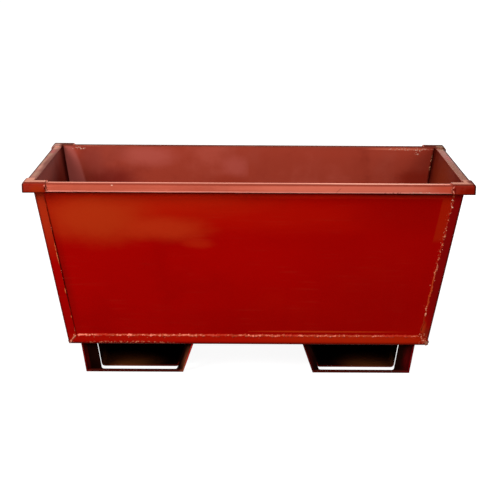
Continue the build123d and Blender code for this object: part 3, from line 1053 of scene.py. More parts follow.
class NodeBench:
    """Adds and joins the nodes of one shader tree."""

    MIX_INPUTS = (0, 6, 7)
    MIX_RESULT = 2

    def __init__(self, tree: Tree) -> None:
        """Take the tree to work on."""
        self.tree = tree

    def add(self, kind: str, **settings: object) -> Node:
        """Add a node.

        Args:
            kind: the node's type.
            settings: its own settings by name.

        Returns:
            The node.
        """
        node = self.tree.nodes.new(kind)
        for name, value in settings.items():
            setattr(node, name, value)
        return node

    def feed(self, socket: Socket, value: Feed) -> None:
        """Join a socket to another, or set its value.

        Args:
            socket: an input.
            value: an output, a number, a vector or a colour.
        """
        if isinstance(value, Socket):
            self.tree.links.new(value, socket)
        elif socket.type == "RGBA":
            socket.default_value = (*value, 1.0)
        else:
            socket.default_value = value

    def fill(self, node: Node, *values: Feed, **named: Feed) -> Node:
        """Feed several inputs of a node.

        Args:
            node: the node.
            values: what its first inputs take, in order.
            named: what inputs take by name.

        Returns:
            The node.
        """
        for socket, value in zip(node.inputs, values):
            self.feed(socket, value)
        for label, value in named.items():
            self.feed(node.inputs[label], value)
        return node

    def math(self, operation: str, first: Feed, second: Feed = 0.0, clamp: bool = False) -> Socket:
        """Work out one value from two."""
        node = self.add("ShaderNodeMath", operation=operation, use_clamp=clamp)
        return self.fill(node, first, second).outputs[0]

    plus = partialmethod(math, "ADD")
    minus = partialmethod(math, "SUBTRACT")
    times = partialmethod(math, "MULTIPLY")
    least = partialmethod(math, "MINIMUM")
    most = partialmethod(math, "MAXIMUM")

    def vector(self, operation: str, first: Feed, second: Feed = (0.0, 0.0, 0.0)) -> Socket:
        """Work out one vector from two, or a length."""
        node = self.fill(self.add("ShaderNodeVectorMath", operation=operation), first, second)
        return node.outputs["Value" if operation == "LENGTH" else "Vector"]

    def split(self, vector: Feed) -> list[Socket]:
        """Part a vector into x, y and z."""
        return list(self.fill(self.add("ShaderNodeSeparateXYZ"), vector).outputs)

    def join(self, x: Feed, y: Feed, z: Feed) -> Socket:
        """Make a vector from x, y and z."""
        return self.fill(self.add("ShaderNodeCombineXYZ"), x, y, z).outputs[0]

    def attribute(self, name: str) -> Socket:
        """Read a value that the mesh holds at its points."""
        return self.add("ShaderNodeAttribute", attribute_name=name).outputs["Fac"]

    def ease(self, value: Feed, low: Feed, high: Feed, start: float = 0.0, end: float = 1.0) -> Socket:
        """Ease from start to end while the value goes from low to high."""
        node = self.add("ShaderNodeMapRange", interpolation_type="SMOOTHSTEP")
        return self.fill(node, value, low, high, start, end).outputs[0]

    def blend(self, first: Feed, share: Feed, second: Feed, other: Feed) -> Socket:
        """Add two values, each times its own share."""
        return self.plus(self.times(first, share), self.times(second, other))

    def mix(self, share: Feed, first: Feed, second: Feed) -> Socket:
        """Mix two colours.

        Args:
            share: share of the second colour.
            first: the first colour.
            second: the second colour.

        Returns:
            The mixed colour.
        """
        node = self.add("ShaderNodeMix", data_type="RGBA")
        for index, value in zip(self.MIX_INPUTS, (share, first, second)):
            self.feed(node.inputs[index], value)
        return node.outputs[self.MIX_RESULT]

    def cover(self, colour: Feed, over: Feed, mask: Feed, share: Feed) -> Socket:
        """Lay a colour over another where a mask is, at a share of its full strength."""
        return self.mix(self.times(mask, share), colour, over)

    def noise(self, vector: Feed, scale: Feed, layers: float = 3.0, strength: float = 0.5) -> Socket:
        """Read noise of about 0 to 1 at a place."""
        node = self.add("ShaderNodeTexNoise")
        return self.fill(node, Vector=vector, Scale=scale, Detail=layers, Roughness=strength).outputs["Fac"]

    def waver(self, vector: Feed, grain: Grain) -> Socket:
        """Read noise that swings about nought."""
        return self.minus(self.noise(vector, *grain), NOISE_MIDDLE)

    def group(self, tree: Tree, **inputs: Feed) -> Node:
        """Place a node group, with its inputs given by name."""
        return self.fill(self.add("ShaderNodeGroup", node_tree=tree), **inputs)

    def mask(self, tree: Tree, **inputs: Feed) -> Socket:
        """Place a node group that gives a mask."""
        return self.group(tree, **inputs).outputs["Mask"]

    def layered(self, tree: Tree, place: Feed, colour: Feed, layers: tuple["PaintLayer", ...]) -> Feed:
        """Lay paint layers over a colour, in order.

        Args:
            tree: the node group that gives the mask of such a layer.
            place: the coordinates that the layers are given in.
            colour: the colour below.
            layers: the layers.

        Returns:
            The covered colour.
        """
        for layer in layers:
            mask = self.mask(tree, Vector=place, **layer.inputs())
            colour = self.cover(colour, layer.colour, mask, layer.strength)
        return colour


class SurfaceGroup(NodeBench):
    """A node group with named sockets, built once and placed in several materials."""

    PLACES = ("Vector", "Centre", "Reach", "Upright")
    COLOURS = ("Colour", "Deep", "Bright")

    def __init__(self, name: str, takes: tuple[str, ...], gives: tuple[str, ...]) -> None:
        """Make the group's sockets. Those not named above as places or colours are plain values.

        Args:
            name: the group's name.
            takes: names of the inputs, after the place that every group takes.
            gives: names of the outputs.
        """
        super().__init__(bpy.data.node_groups.new(name, "ShaderNodeTree"))
        kinds = dict.fromkeys(self.PLACES, "NodeSocketVector")
        kinds.update(dict.fromkeys(self.COLOURS, "NodeSocketColor"))
        for way, labels in (("INPUT", ("Vector", *takes)), ("OUTPUT", gives)):
            for label in labels:
                kind = kinds.get(label, "NodeSocketFloat")
                self.tree.interface.new_socket(label, in_out=way, socket_type=kind)
        self.taken = self.add("NodeGroupInput").outputs
        self.given = self.add("NodeGroupOutput").inputs
        self.place = self.taken["Vector"]

    def give(self, label: str, value: Feed) -> None:
        """Feed one of the group's outputs."""
        self.feed(self.given[label], value)


@dataclass(frozen=True)
class PaintLayer:
    """Another colour over a paint. Its node group has inputs of the same names as its own fields."""

    TAKES: ClassVar[tuple[str, ...]] = ()

    def inputs(self) -> dict[str, Feed]:
        """What the layer's node group takes, by name."""
        return {label: getattr(self, label.lower()) for label in self.TAKES}


@dataclass(frozen=True)
class PaintPatch(PaintLayer):
    """A soft patch of another colour at one place."""

    TAKES: ClassVar[tuple[str, ...]] = ("Centre", "Reach", "Ragged", "Softness", "Square", "Lean", "Speckle")

    centre: Place
    reach: Place
    colour: Colour
    strength: float
    softness: float = 0.8
    ragged: float = 0.35
    square: float = 0.0
    lean: float = 0.0
    speckle: float = 0.0


@dataclass(frozen=True)
class PaintBand(PaintLayer):
    """A level band of another colour between two heights."""

    TAKES: ClassVar[tuple[str, ...]] = ("Low", "High", "Blur")

    low: float
    high: float
    colour: Colour
    strength: float
    blur: float = 0.0008


@dataclass
class PaintEffects:
    """The node groups that the finishes share, each built once, with their noises and edges."""

    sizes: TubSizes
    low_fold_reach: float = 0.012
    side_fold_reach: float = 0.008
    skin_start: float = 0.9
    blotch_wide: Grain = Grain(1.0, 2.0, 0.45)
    blotch_small: Grain = Grain(6.0, 4.0, 0.55)
    blotch_fleck: Grain = Grain(90.0, 2.0, 0.6)
    wide_share: float = 0.75
    bright_edge: Span = (0.5, 0.68)
    deep_edge: Span = (0.48, 0.32)
    fleck_edge: Span = (0.6, 0.74)
    fleck_share: float = 0.4
    rag_grain: Grain = Grain(2.6, 4.0, 0.6)
    speck_grain: Grain = Grain(210.0, 2.0)
    speck_edge: Span = (0.6, 0.54)
    band_grain: Grain = Grain(38.0, 4.0, 0.6)
    cloud_grain: Grain = Grain(5.0, 5.0, 0.6)
    cloud_edge: Span = (0.42, 0.72)
    streak_stretch: Place = (26.0, 26.0, 2.2)
    streak_grain: Grain = Grain(1.0, 3.0, 0.55)
    streak_edge: Span = (0.5, 0.75)
    scratch_stretch: Place = (7.0, 7.0, 260.0)
    scratch_grain: Grain = Grain(1.0, 2.0, 0.6)
    scratch_edge: Span = (0.56, 0.7)
    gate_grain: Grain = Grain(9.0, 2.0)
    gate_edge: Span = (0.45, 0.65)
    rub_grain: Grain = Grain(55.0, 5.0, 0.65)
    rub_wear: float = 0.55
    rub_spots: float = 0.9
    rub_edge: Span = (0.88, 1.02)
    peel_grain: Grain = Grain(420.0, 2.0)
    peel_share: float = 0.35
    wave_grain: Grain = Grain(60.0)
    dull_grain: Grain = Grain(14.0, 4.0, 0.6)

    @cached_property
    def place(self) -> Tree:
        """Where a point lies on the tub.

        Depth is the least of how far it lies inside the leaning ends, the leaning walls and the underside:
        nought on the outer faces, one or two sheets on the inner ones. Fold is 1 where two of the three are
        small, along the outer folds. Upright has the ends' lean taken out, so their seams stand straight.

        Returns:
            The group.
        """
        size = self.sizes
        bench = SurfaceGroup("tub place", ("Skin",), ("Inside", "Fold", "Upright"))
        x, y, z = bench.split(bench.place)
        rise = bench.times(z, size.slope)
        to_end, to_wall = (
            bench.minus(bench.plus(rise, half), bench.math("ABSOLUTE", way))
            for way, half in ((x, size.sheet_half_length(0.0)), (y, size.sheet_half_width(0.0)))
        )
        to_floor = bench.minus(z, size.floor_bottom)
        nearer_side = bench.least(to_end, to_wall)
        depth = bench.least(nearer_side, to_floor)
        skin = bench.taken["Skin"]
        bench.give("Inside", bench.ease(depth, bench.times(skin, self.skin_start), skin))
        low_fold = bench.ease(bench.most(nearer_side, to_floor), self.low_fold_reach, 0.0)
        side_fold = bench.ease(bench.most(to_end, to_wall), self.side_fold_reach, 0.0)
        bench.give("Fold", bench.most(low_fold, side_fold))
        leant = bench.times(bench.minus(size.wall_top, z), size.slope)
        stretch = bench.times(leant, bench.math("SIGN", x))
        bench.give("Upright", bench.join(bench.plus(x, stretch), y, z))
        return bench.tree

    @cached_property
    def blotches(self) -> Tree:
        """Uneven paint: wide soft patches of a deeper and a brighter colour, with a fine fleck.

        Returns:
            The group.
        """
        bench = SurfaceGroup("paint blotches", ("Colour", "Deep", "Bright", "Scale"), ("Colour",))
        noises = []
        for grain in (self.blotch_wide, self.blotch_small, self.blotch_fleck):
            scale = bench.times(bench.taken["Scale"], grain.scale)
            noises.append(bench.noise(bench.place, scale, grain.layers, grain.strength))
        wide, small, fleck = noises
        deep = bench.taken["Deep"]
        tone = bench.blend(wide, self.wide_share, small, 1.0 - self.wide_share)
        colour = bench.mix(bench.ease(tone, *self.bright_edge), bench.taken["Colour"], bench.taken["Bright"])
        colour = bench.mix(bench.ease(tone, *self.deep_edge), colour, deep)
        flecks = bench.ease(fleck, *self.fleck_edge, end=self.fleck_share)
        bench.give("Colour", bench.mix(flecks, colour, deep))
        return bench.tree

    @cached_property
    def patch(self) -> Tree:
        """One soft patch: how far a place lies from a centre, measured in reaches, with a ragged edge.

        A round patch takes the length of that distance, a square one its greatest part. A leaning one is
        shifted along x with its height, and a speckled one shows only as fine specks.

        Returns:
            The group.
        """
        bench = SurfaceGroup("soft patch", PaintPatch.TAKES, ("Mask",))
        taken = bench.taken
        away = bench.vector("SUBTRACT", bench.place, taken["Centre"])
        height = bench.split(away)[2]
        shift = bench.join(bench.times(height, taken["Lean"]), 0.0, 0.0)
        away = bench.vector("DIVIDE", bench.vector("SUBTRACT", away, shift), taken["Reach"])
        round_way = bench.vector("LENGTH", away)
        x, y, z = bench.split(bench.vector("ABSOLUTE", away))
        square_way = bench.most(bench.most(x, y), z)
        more = bench.times(bench.minus(square_way, round_way), taken["Square"])
        far = bench.plus(round_way, more)
        rag = bench.times(bench.waver(away, self.rag_grain), taken["Ragged"])
        far = bench.plus(far, rag)
        start = bench.minus(1.0, taken["Softness"])
        gaps = bench.ease(bench.noise(bench.place, *self.speck_grain), *self.speck_edge)
        kept = bench.minus(1.0, bench.times(gaps, taken["Speckle"]))
        bench.give("Mask", bench.times(bench.ease(far, 1.0, start), kept))
        return bench.tree

    @cached_property
    def band(self) -> Tree:
        """One level band: 1 between two heights, with blurred edges that waver a little.

        Returns:
            The group.
        """
        bench = SurfaceGroup("level band", PaintBand.TAKES, ("Mask",))
        low, high, blur = (bench.taken[label] for label in PaintBand.TAKES)
        shift = bench.times(bench.waver(bench.place, self.band_grain), blur)
        height = bench.plus(bench.split(bench.place)[2], shift)
        above = bench.ease(height, low, bench.plus(low, blur))
        below = bench.ease(height, high, bench.minus(high, blur))
        bench.give("Mask", bench.times(above, below))
        return bench.tree

    @cached_property
    def dust(self) -> Tree:
        """A thin film of cement: clouds, and streaks that run down.

        Returns:
            The group.
        """
        bench = SurfaceGroup("cement film", ("Amount", "Streaks"), ("Mask",))
        clouds = bench.ease(bench.noise(bench.place, *self.cloud_grain), *self.cloud_edge)
        drawn_out = bench.vector("MULTIPLY", bench.place, self.streak_stretch)
        streaks = bench.ease(bench.noise(drawn_out, *self.streak_grain), *self.streak_edge)
        film = bench.plus(clouds, bench.times(streaks, bench.taken["Streaks"]))
        bench.give("Mask", bench.times(film, bench.taken["Amount"], clamp=True))
        return bench.tree

    @cached_property
    def scuffs(self) -> Tree:
        """Rubs and scratches: fine grain drawn out along the tub, and rubs in spots on worn corners; on the
        rails' bends they also stand for painted highlights.

        Returns:
            The group.
        """
        bench = SurfaceGroup("scuffs", ("Wear",), ("Scratch", "Rub"))
        drawn_out = bench.vector("MULTIPLY", bench.place, self.scratch_stretch)
        lines = bench.ease(bench.noise(drawn_out, *self.scratch_grain), *self.scratch_edge)
        gate = bench.ease(bench.noise(bench.place, *self.gate_grain), *self.gate_edge)
        bench.give("Scratch", bench.times(lines, gate))
        spots = bench.noise(bench.place, *self.rub_grain)
        worn = bench.blend(bench.taken["Wear"], self.rub_wear, spots, self.rub_spots)
        bench.give("Rub", bench.ease(worn, *self.rub_edge))
        return bench.tree

    @cached_property
    def skin(self) -> Tree:
        """The skin of sprayed paint: orange peel on slow waves, and how its dullness swings about nought.

        Returns:
            The group.
        """
        bench = SurfaceGroup("paint skin", (), ("Height", "Dull"))
        peel = bench.noise(bench.place, *self.peel_grain)
        waves = bench.noise(bench.place, *self.wave_grain)
        bench.give("Height", bench.blend(peel, self.peel_share, waves, 1.0 - self.peel_share))
        bench.give("Dull", bench.waver(bench.place, self.dull_grain))
        return bench.tree


class PaintBench(NodeBench):
    """The bench of one painted material, with the shared groups and the object coordinates at hand."""

    def __init__(self, tree: Tree, effects: PaintEffects) -> None:
        """Take the material's tree and the shared groups."""
        super().__init__(tree)
        self.effects, self.place = effects, self.add("ShaderNodeTexCoord").outputs["Object"]

    def blotches(self, tones: Tones, scale: float) -> Socket:
        """Uneven paint in three tones."""
        colours = dict(zip(SurfaceGroup.COLOURS, tones))
        return self.group(self.effects.blotches, Vector=self.place, Scale=scale, **colours).outputs["Colour"]

    def dust(self, amount: float, streaks: float) -> Socket:
        """Where a film of cement lies."""
        return self.mask(self.effects.dust, Vector=self.place, Amount=amount, Streaks=streaks)


@dataclass(frozen=True)
class Finish:
    """A painted steel finish. Colours are linear red, green and blue."""

    name: str
    tones: Tones
    scale: float = 2.4
    roughness: float = 0.45
    unevenness: float = 0.18
    film_roughness: float = 0.25
    specular: float = 0.06
    sheen: Colour = (1.0, 0.08, 0.03)
    bump: float = 0.25
    bump_depth: float = 0.0004
    patches: tuple[PaintPatch, ...] = ()
    bands: tuple[PaintBand, ...] = ()

    def colouring(self, bench: PaintBench) -> tuple[Feed, Feed]:
        """Colour, and a mask of where a film makes the paint rougher, which each kind of finish works out."""
        raise NotImplementedError

    def make(self, effects: PaintEffects) -> Material:
        """Build the material: colour, roughness that swings about its middle, and the bump of the skin.

        Args:
            effects: the shared groups.

        Returns:
            The material.
        """
        material = bpy.data.materials.new(self.name)
        material.use_nodes = True
        bench = PaintBench(material.node_tree, effects)
        shader = next(node for node in bench.tree.nodes if node.type == "BSDF_PRINCIPLED")
        colour, film = self.colouring(bench)
        skin = bench.group(effects.skin, Vector=bench.place).outputs
        rough = bench.plus(bench.times(skin["Dull"], self.unevenness), self.roughness)
        rough = bench.plus(rough, bench.times(film, self.film_roughness))
        bump = bench.add("ShaderNodeBump")
        bench.fill(bump, Strength=self.bump, Distance=self.bump_depth, Height=skin["Height"])
        gloss = {"Specular IOR Level": self.specular, "Specular Tint": self.sheen}
        surface = {"Base Color": colour, "Roughness": rough, "Normal": bump.outputs["Normal"]}
        bench.fill(shader, **gloss, **surface)
        return material


@dataclass(frozen=True)
class BodyPaint(Finish):
    """Red oxide paint of the sheets: deep red outside, browner with a film of cement inside."""

    skin_depth: float = 0.0015
    marked: bool = False
    inside: Tones = Tones((0.28, 0.036, 0.019), (0.22, 0.024, 0.012), (0.33, 0.052, 0.032))
    inside_patches: tuple[PaintPatch, ...] = ()
    inside_scale: float = 3.8
    film: Colour = (0.36, 0.09, 0.065)
    film_amount: float = 0.18
    film_streaks: float = 0.15
    scratch: Colour = (0.5, 0.09, 0.05)
    scratch_share: float = 0.04
    # Painted shade along the outer folds, and how strong it is
    fold_shade: Colour = (0.035, 0.0008, 0.0006)
    fold_shade_strength: float = 0.9

    def colouring(self, bench: PaintBench) -> tuple[Feed, Feed]:
        """Outside, blotches, patches, scratches, bands and painted shade along the outer folds; inside,
        blotches, patches and film.

        Args:
            bench: the material's bench.

        Returns:
            The colour, and the mask of the inside.
        """
        groups = bench.effects
        tub = bench.group(groups.place, Vector=bench.place, Skin=self.skin_depth).outputs
        upright = tub["Upright"]
        inside = bench.attribute(INSIDE_MARK) if self.marked else tub["Inside"]
        outer = bench.blotches(self.tones, self.scale)
        outer = bench.layered(groups.patch, upright, outer, self.patches)
        scratches = bench.group(groups.scuffs, Vector=bench.place).outputs["Scratch"]
        outer = bench.cover(outer, self.scratch, scratches, self.scratch_share)
        outer = bench.layered(groups.band, bench.place, outer, self.bands)
        # Painted shade along the outer folds
        outer = bench.cover(outer, self.fold_shade, tub["Fold"], self.fold_shade_strength)
        inner = bench.blotches(self.inside, self.inside_scale)
        inner = bench.layered(groups.patch, upright, inner, self.inside_patches)
        inner = bench.mix(bench.dust(self.film_amount, self.film_streaks), inner, self.film)
        return bench.mix(inside, outer, inner), inside


@dataclass(frozen=True)
class RailPaint(Finish):
    """Paint of the rails and caps: bands of painted highlight and shade along the bends, a dusty top whose
    tone carries painted light and shade, rubs that are partly painted highlight, and long scratches.
    """

    top: Colour = (0.3, 0.12, 0.09)
    dust: Colour = (0.42, 0.22, 0.18)
    dust_amount: float = 0.5
    dust_streaks: float = 0.5
    rub_and_highlight: Colour = (0.72, 0.24, 0.16)
    rub_and_highlight_share: float = 0.15
    scratch: Colour = (0.66, 0.19, 0.13)
    scratch_share: float = 0.5
    top_height: float = 0.0
    top_band: float = 0.0007
    above_top: float = 1.0
    roughness: float = 0.6
    specular: float = 0.08
    sheen: Colour = (1.0, 0.3, 0.2)

    def colouring(self, bench: PaintBench) -> tuple[Feed, Feed]:
        """Blotches, scratches and bands, then the dusty top, the rubs and the patches.

        Args:
            bench: the material's bench.

        Returns:
            The colour, and the mask of the top.
        """
        groups, place = bench.effects, bench.place
        # Rubs on the worn bends, partly painted highlight
        scuffs = bench.group(groups.scuffs, Vector=place, Wear=bench.attribute("wear")).outputs
        colour = bench.blotches(self.tones, self.scale)
        colour = bench.cover(colour, self.scratch, scuffs["Scratch"], self.scratch_share)
        colour = bench.layered(groups.band, place, colour, self.bands)
        heights = {"Low": self.top_height - self.top_band, "High": self.top_height + self.above_top}
        on_top = bench.mask(groups.band, Vector=place, **heights, Blur=self.top_band / 2)
        top = bench.mix(bench.dust(self.dust_amount, self.dust_streaks), self.top, self.dust)
        colour = bench.mix(on_top, colour, top)
        colour = bench.cover(colour, self.rub_and_highlight, scuffs["Rub"], self.rub_and_highlight_share)
        return bench.layered(groups.patch, place, colour, self.patches), on_top


@dataclass(frozen=True)
class PocketPaint(Finish):
    """Paint of the fork pockets: near black as painted shade, painted light as brown streaks near the mouths,
    painted shade on the frames' lips.
    """

    mouth_light: Colour = (0.02, 0.004, 0.0025)
    mouth_light_amount: float = 0.5
    mouth_light_streaks: float = 0.8
    mouth_light_edge: Span = (0.1, 0.165)
    lip: Colour = (0.006, 0.0008, 0.0005)
    lip_face: float = 0.213
    lip_depth: float = 0.0008
    roughness: float = 0.65
    specular: float = 0.0

    def colouring(self, bench: PaintBench) -> tuple[Feed, Feed]:
        """Blotches, painted light in brown streaks near the mouths, the lips and the patches.

        Args:
            bench: the material's bench.

        Returns:
            The colour, and no film.
        """
        out = bench.math("ABSOLUTE", bench.split(bench.place)[1])
        film = bench.dust(self.mouth_light_amount, self.mouth_light_streaks)
        near_mouth = bench.ease(out, *self.mouth_light_edge)
        colour = bench.cover(bench.blotches(self.tones, self.scale), self.mouth_light, near_mouth, film)
        on_lip = bench.ease(out, self.lip_face - self.lip_depth, self.lip_face - self.lip_depth / 2)
        colour = bench.mix(on_lip, colour, self.lip)
        return bench.layered(bench.effects.patch, bench.place, colour, self.patches), 0.0


@dataclass(frozen=True)
class WeldPaint(Finish):
    """Painted weld metal: deep red in the hollows, partly painted shade; pale on the crests, partly bare
    metal shining through and partly painted highlight.
    """

    pale: Colour = (0.74, 0.25, 0.15)
    tan: Colour = (0.6, 0.28, 0.15)
    tan_grain: Grain = Grain(45.0, 2.0)
    tan_edge: Span = (0.48, 0.62)
    hollow_edge: Span = (0.05, 0.5)
    fleck: float = 1.0
    grain: Grain = Grain(190.0, 3.0, 0.65)
    stretch_grain: Grain = Grain(26.0, 2.0)
    crest_share: float = 0.5
    pale_share: float = 0.55
    bare_edge: Span = (1.72, 1.98)
    scale: float = 9.0
    specular: float = 0.2
    sheen: Colour = (1.0, 0.4, 0.3)

    def colouring(self, bench: PaintBench) -> tuple[Feed, Feed]:
        """Deep hollows, partly painted shade, then pale or tan where crest, paleness and two noises together
        are high, partly painted highlight.

        Args:
            bench: the material's bench.

        Returns:
            The colour, and no film.
        """
        place, crest = bench.place, bench.attribute("crest")
        raised = bench.ease(crest, *self.hollow_edge)
        colour = bench.mix(raised, self.tones.deep, bench.blotches(self.tones, self.scale))
        spots = bench.times(bench.waver(place, self.grain), self.fleck)
        spots = bench.plus(spots, NOISE_MIDDLE)
        stretches = bench.noise(place, *self.stretch_grain)
        bare = bench.blend(crest, self.crest_share, bench.attribute("pale"), self.pale_share)
        bare = bench.plus(bare, bench.plus(spots, stretches))
        tanned = bench.ease(bench.noise(place, *self.tan_grain), *self.tan_edge)
        pale = bench.mix(tanned, self.pale, self.tan)
        colour = bench.mix(bench.ease(bare, *self.bare_edge), colour, pale)
        return bench.layered(bench.effects.patch, place, colour, self.patches), 0.0


@dataclass(frozen=True)
class SoftLight:
    """A rectangular soft light: where it stands, what it points at, its size and its power in watts."""

    name: str
    place: Place
    aim: Place
    width: float
    height: float
    power: float

    def build(self) -> None:
        """Make the lamp."""
        lamp = bpy.data.lights.new(self.name, "AREA")
        lamp.shape = "RECTANGLE"
        lamp.size, lamp.size_y, lamp.energy = self.width, self.height, self.power
        holder = bpy.data.objects.new(self.name, lamp)
        holder.location = self.place
        holder.rotation_euler = (Vector(self.aim) - Vector(self.place)).to_track_quat("-Z", "Y").to_euler()
        bpy.context.scene.collection.objects.link(holder)


@dataclass(frozen=True)
class Studio:
    """A pale floor, a white surround and soft lights."""

    lights: tuple[SoftLight, ...]
    floor_reach: float = 30.0
    floor_drop: float = 0.0006
    floor_colour: Colour = (0.22, 0.22, 0.22)
    glow_reach: Span = (0.7, 2.2)
    glow: Span = (0.93, 1.0)
    ambient: float = 0.34

    @staticmethod
    def seen(bench: NodeBench) -> Socket:
        """1 for what the camera, a mirror or glass sees, and 0 for light that falls on the tub."""
        ray = bench.add("ShaderNodeLightPath").outputs
        return bench.most(ray["Is Camera Ray"], bench.most(ray["Is Glossy Ray"], ray["Is Transmission Ray"]))

    def build_floor(self) -> None:
        """Make the floor: it takes the tub's shadow, and glows for what is seen, so that it is near white."""
        reach, low = self.floor_reach, -self.floor_drop
        mesh = bpy.data.meshes.new("studio_floor")
        corners = [(-reach, -reach, low), (reach, -reach, low), (reach, reach, low), (-reach, reach, low)]
        mesh.from_pydata(corners, [], [(0, 1, 2, 3)])
        material = bpy.data.materials.new("studio_floor")
        material.use_nodes = True
        bench = NodeBench(material.node_tree)
        bench.tree.nodes.clear()
        matt = bench.fill(bench.add("ShaderNodeBsdfDiffuse"), Color=self.floor_colour)
        away = bench.vector("LENGTH", bench.add("ShaderNodeTexCoord").outputs["Object"])
        level = bench.ease(away, *self.glow_reach, *self.glow)
        glow = bench.fill(bench.add("ShaderNodeEmission"), Strength=bench.times(self.seen(bench), level))
        both = bench.fill(bench.add("ShaderNodeAddShader"), matt.outputs[0], glow.outputs[0])
        bench.fill(bench.add("ShaderNodeOutputMaterial"), Surface=both.outputs[0])
        mesh.materials.append(material)
        floor = bpy.data.objects.new("studio_floor", mesh)
        bpy.context.scene.collection.objects.link(floor)

    def build_surround(self) -> None:
        """Make the surround: white where it is seen, softer as light on the tub."""
        world = bpy.data.worlds.new("studio_surround")
        world.use_nodes = True
        bench = NodeBench(world.node_tree)
        back = next(node for node in bench.tree.nodes if node.type == "BACKGROUND")
        strength = bench.ease(self.seen(bench), 0.0, 1.0, self.ambient, 1.0)
        bench.fill(back, Color=(1.0, 1.0, 1.0), Strength=strength)
        bpy.context.scene.world = world

    def build(self) -> None:
        """Make the floor, the surround and the lamps, and keep colours as they are written."""
        self.build_floor()
        self.build_surround()
        for light in self.lights:
            light.build()
        bpy.context.scene.view_settings.view_transform = "Standard"


@dataclass(frozen=True)
class PhotoCamera:
    """The camera, from the front and a little above. The focal length is in pixels of a 500 pixel image."""

    place: Place = (-0.0084, -3.9084, 1.2624)
    pitch: float = radians(13.8263)
    yaw: float = radians(-0.1902)
    roll: float = radians(0.3479)
    focal_pixels: float = 1387.0
    image_pixels: float = 500.0
    sensor: float = 36.0

    def build(self) -> None:
        """Make the camera: right and up turn by the roll about the line of sight."""
        level = Vector((cos(self.yaw), sin(self.yaw), 0.0))
        sight = Vector((-sin(self.yaw) * cos(self.pitch), cos(self.yaw) * cos(self.pitch), -sin(self.pitch)))
        upright = level.cross(sight)
        right = cos(self.roll) * level + sin(self.roll) * upright
        up = -sin(self.roll) * level + cos(self.roll) * upright
        lens = bpy.data.cameras.new("photo_camera")
        lens.sensor_width = self.sensor
        lens.lens = self.focal_pixels / self.image_pixels * self.sensor
        camera = bpy.data.objects.new("photo_camera", lens)
        turn = Matrix((right, up, -sight)).transposed().to_4x4()
        camera.matrix_world = Matrix.Translation(self.place) @ turn
        bpy.context.scene.collection.objects.link(camera)
        bpy.context.scene.camera = camera


STUDIO = Studio(
    lights=(
        SoftLight("key_light", (-1.9, -2.0, 1.9), (0.0, -0.2, 0.35), 1.4, 1.4, 82.0),
        SoftLight("fill_light", (2.4, -3.2, 1.6), (0.0, 0.0, 0.3), 2.4, 2.0, 42.0),
        SoftLight("top_light", (0.0, -0.2, 3.2), (0.0, 0.0, 0.3), 2.6, 2.0, 44.0),
        SoftLight("rear_light", (1.8, 2.8, 1.5), (0.0, 0.2, 0.25), 2.4, 1.6, 55.0),
    )
)


class Axis(Enum):
    """Axes of the tub: along it, across it, and up."""

    ALONG = 0
    ACROSS = 1
    UP = 2


ALONG, ACROSS, UP = Axis


@dataclass(frozen=True)
class Face:
    """A face that patches lie on: the axis that it looks along, where it stands, and how deep they reach."""

    looks: Axis
    stands: float
    depth: float

    def patch(self, x: float, y: float, wide: float, high: float, *paint: Feed, **shape: float) -> PaintPatch:
        """A patch on the face.

        Args:
            x: place along the first of the face's two axes.
            y: place along the second.
            wide: reach along the first.
            high: reach along the second.
            paint: colour, strength, softness and raggedness.
            shape: further fields by name.

        Returns:
            The patch.
        """
        centre = np.insert([x, y], self.looks.value, self.stands)
        reach = np.insert([wide, high], self.looks.value, self.depth)
        return PaintPatch(tuple(centre), tuple(reach), *paint, **shape)


# Painted shade: the colour of shadows under the rim, beside the strips' edges and in the inside corners
PAINTED_SHADE = (0.03, 0.0006, 0.0004)
CREAM = (0.62, 0.4, 0.3)

# Front wall, outside
WALL_TONES = Tones((0.345, 0.0006, 0.0002), (0.3, 0.0004, 0.0002), (0.365, 0.002, 0.0003))
on_wall = Face(ACROSS, -0.27, 0.2).patch
WALL_PATCHES = (
    # Warm light along the top, strongest at the left
    on_wall(-0.25, 0.51, 0.45, 0.075, (0.4, 0.013, 0.002), 0.8),
    on_wall(0.0, 0.465, 0.6, 0.08, (0.46, 0.006, 0.0004), 0.45),
    on_wall(0.0, 0.33, 0.38, 0.12, (0.38, 0.0008, 0.0003), 0.7),
    on_wall(-0.43, 0.455, 0.22, 0.1, (0.415, 0.029, 0.0045), 0.85),
    on_wall(-0.24, 0.425, 0.16, 0.05, (0.45, 0.027, 0.005), 0.75),
    on_wall(-0.165, 0.383, 0.06, 0.02, (0.42, 0.016, 0.003), 0.6),
    # Painted shade: deeper red at the right, beside the left strip and low down
    on_wall(0.42, 0.15, 0.3, 0.25, (0.3, 0.0005, 0.0003), 0.6),
    on_wall(0.44, 0.475, 0.22, 0.09, (0.29, 0.0006, 0.0003), 0.6),
    on_wall(-0.55, 0.28, 0.028, 0.27, (0.2, 0.0012, 0.0006), 0.7, 1.0),
    on_wall(0.0, 0.13, 0.6, 0.1, (0.3, 0.0004, 0.0002), 0.7),
    # Thin lines: brighter at the right seam, a painted highlight above the band, painted shadow beside the
    # left strip and under the rail
    on_wall(0.5375, 0.455, 0.0155, 0.07, (0.36, 0.01, 0.001), 0.85, 0.25, 0.12, square=1.0),
    on_wall(0.27, 0.1225, 0.3, 0.0036, (0.5, 0.035, 0.005), 0.85, 0.7, 0.3),
    on_wall(-0.5525, 0.33, 0.006, 0.32, PAINTED_SHADE, 0.9),
    on_wall(0.5, 0.524, 0.3, 0.012, (0.04, 0.0006, 0.0003), 0.85, 0.7),
)

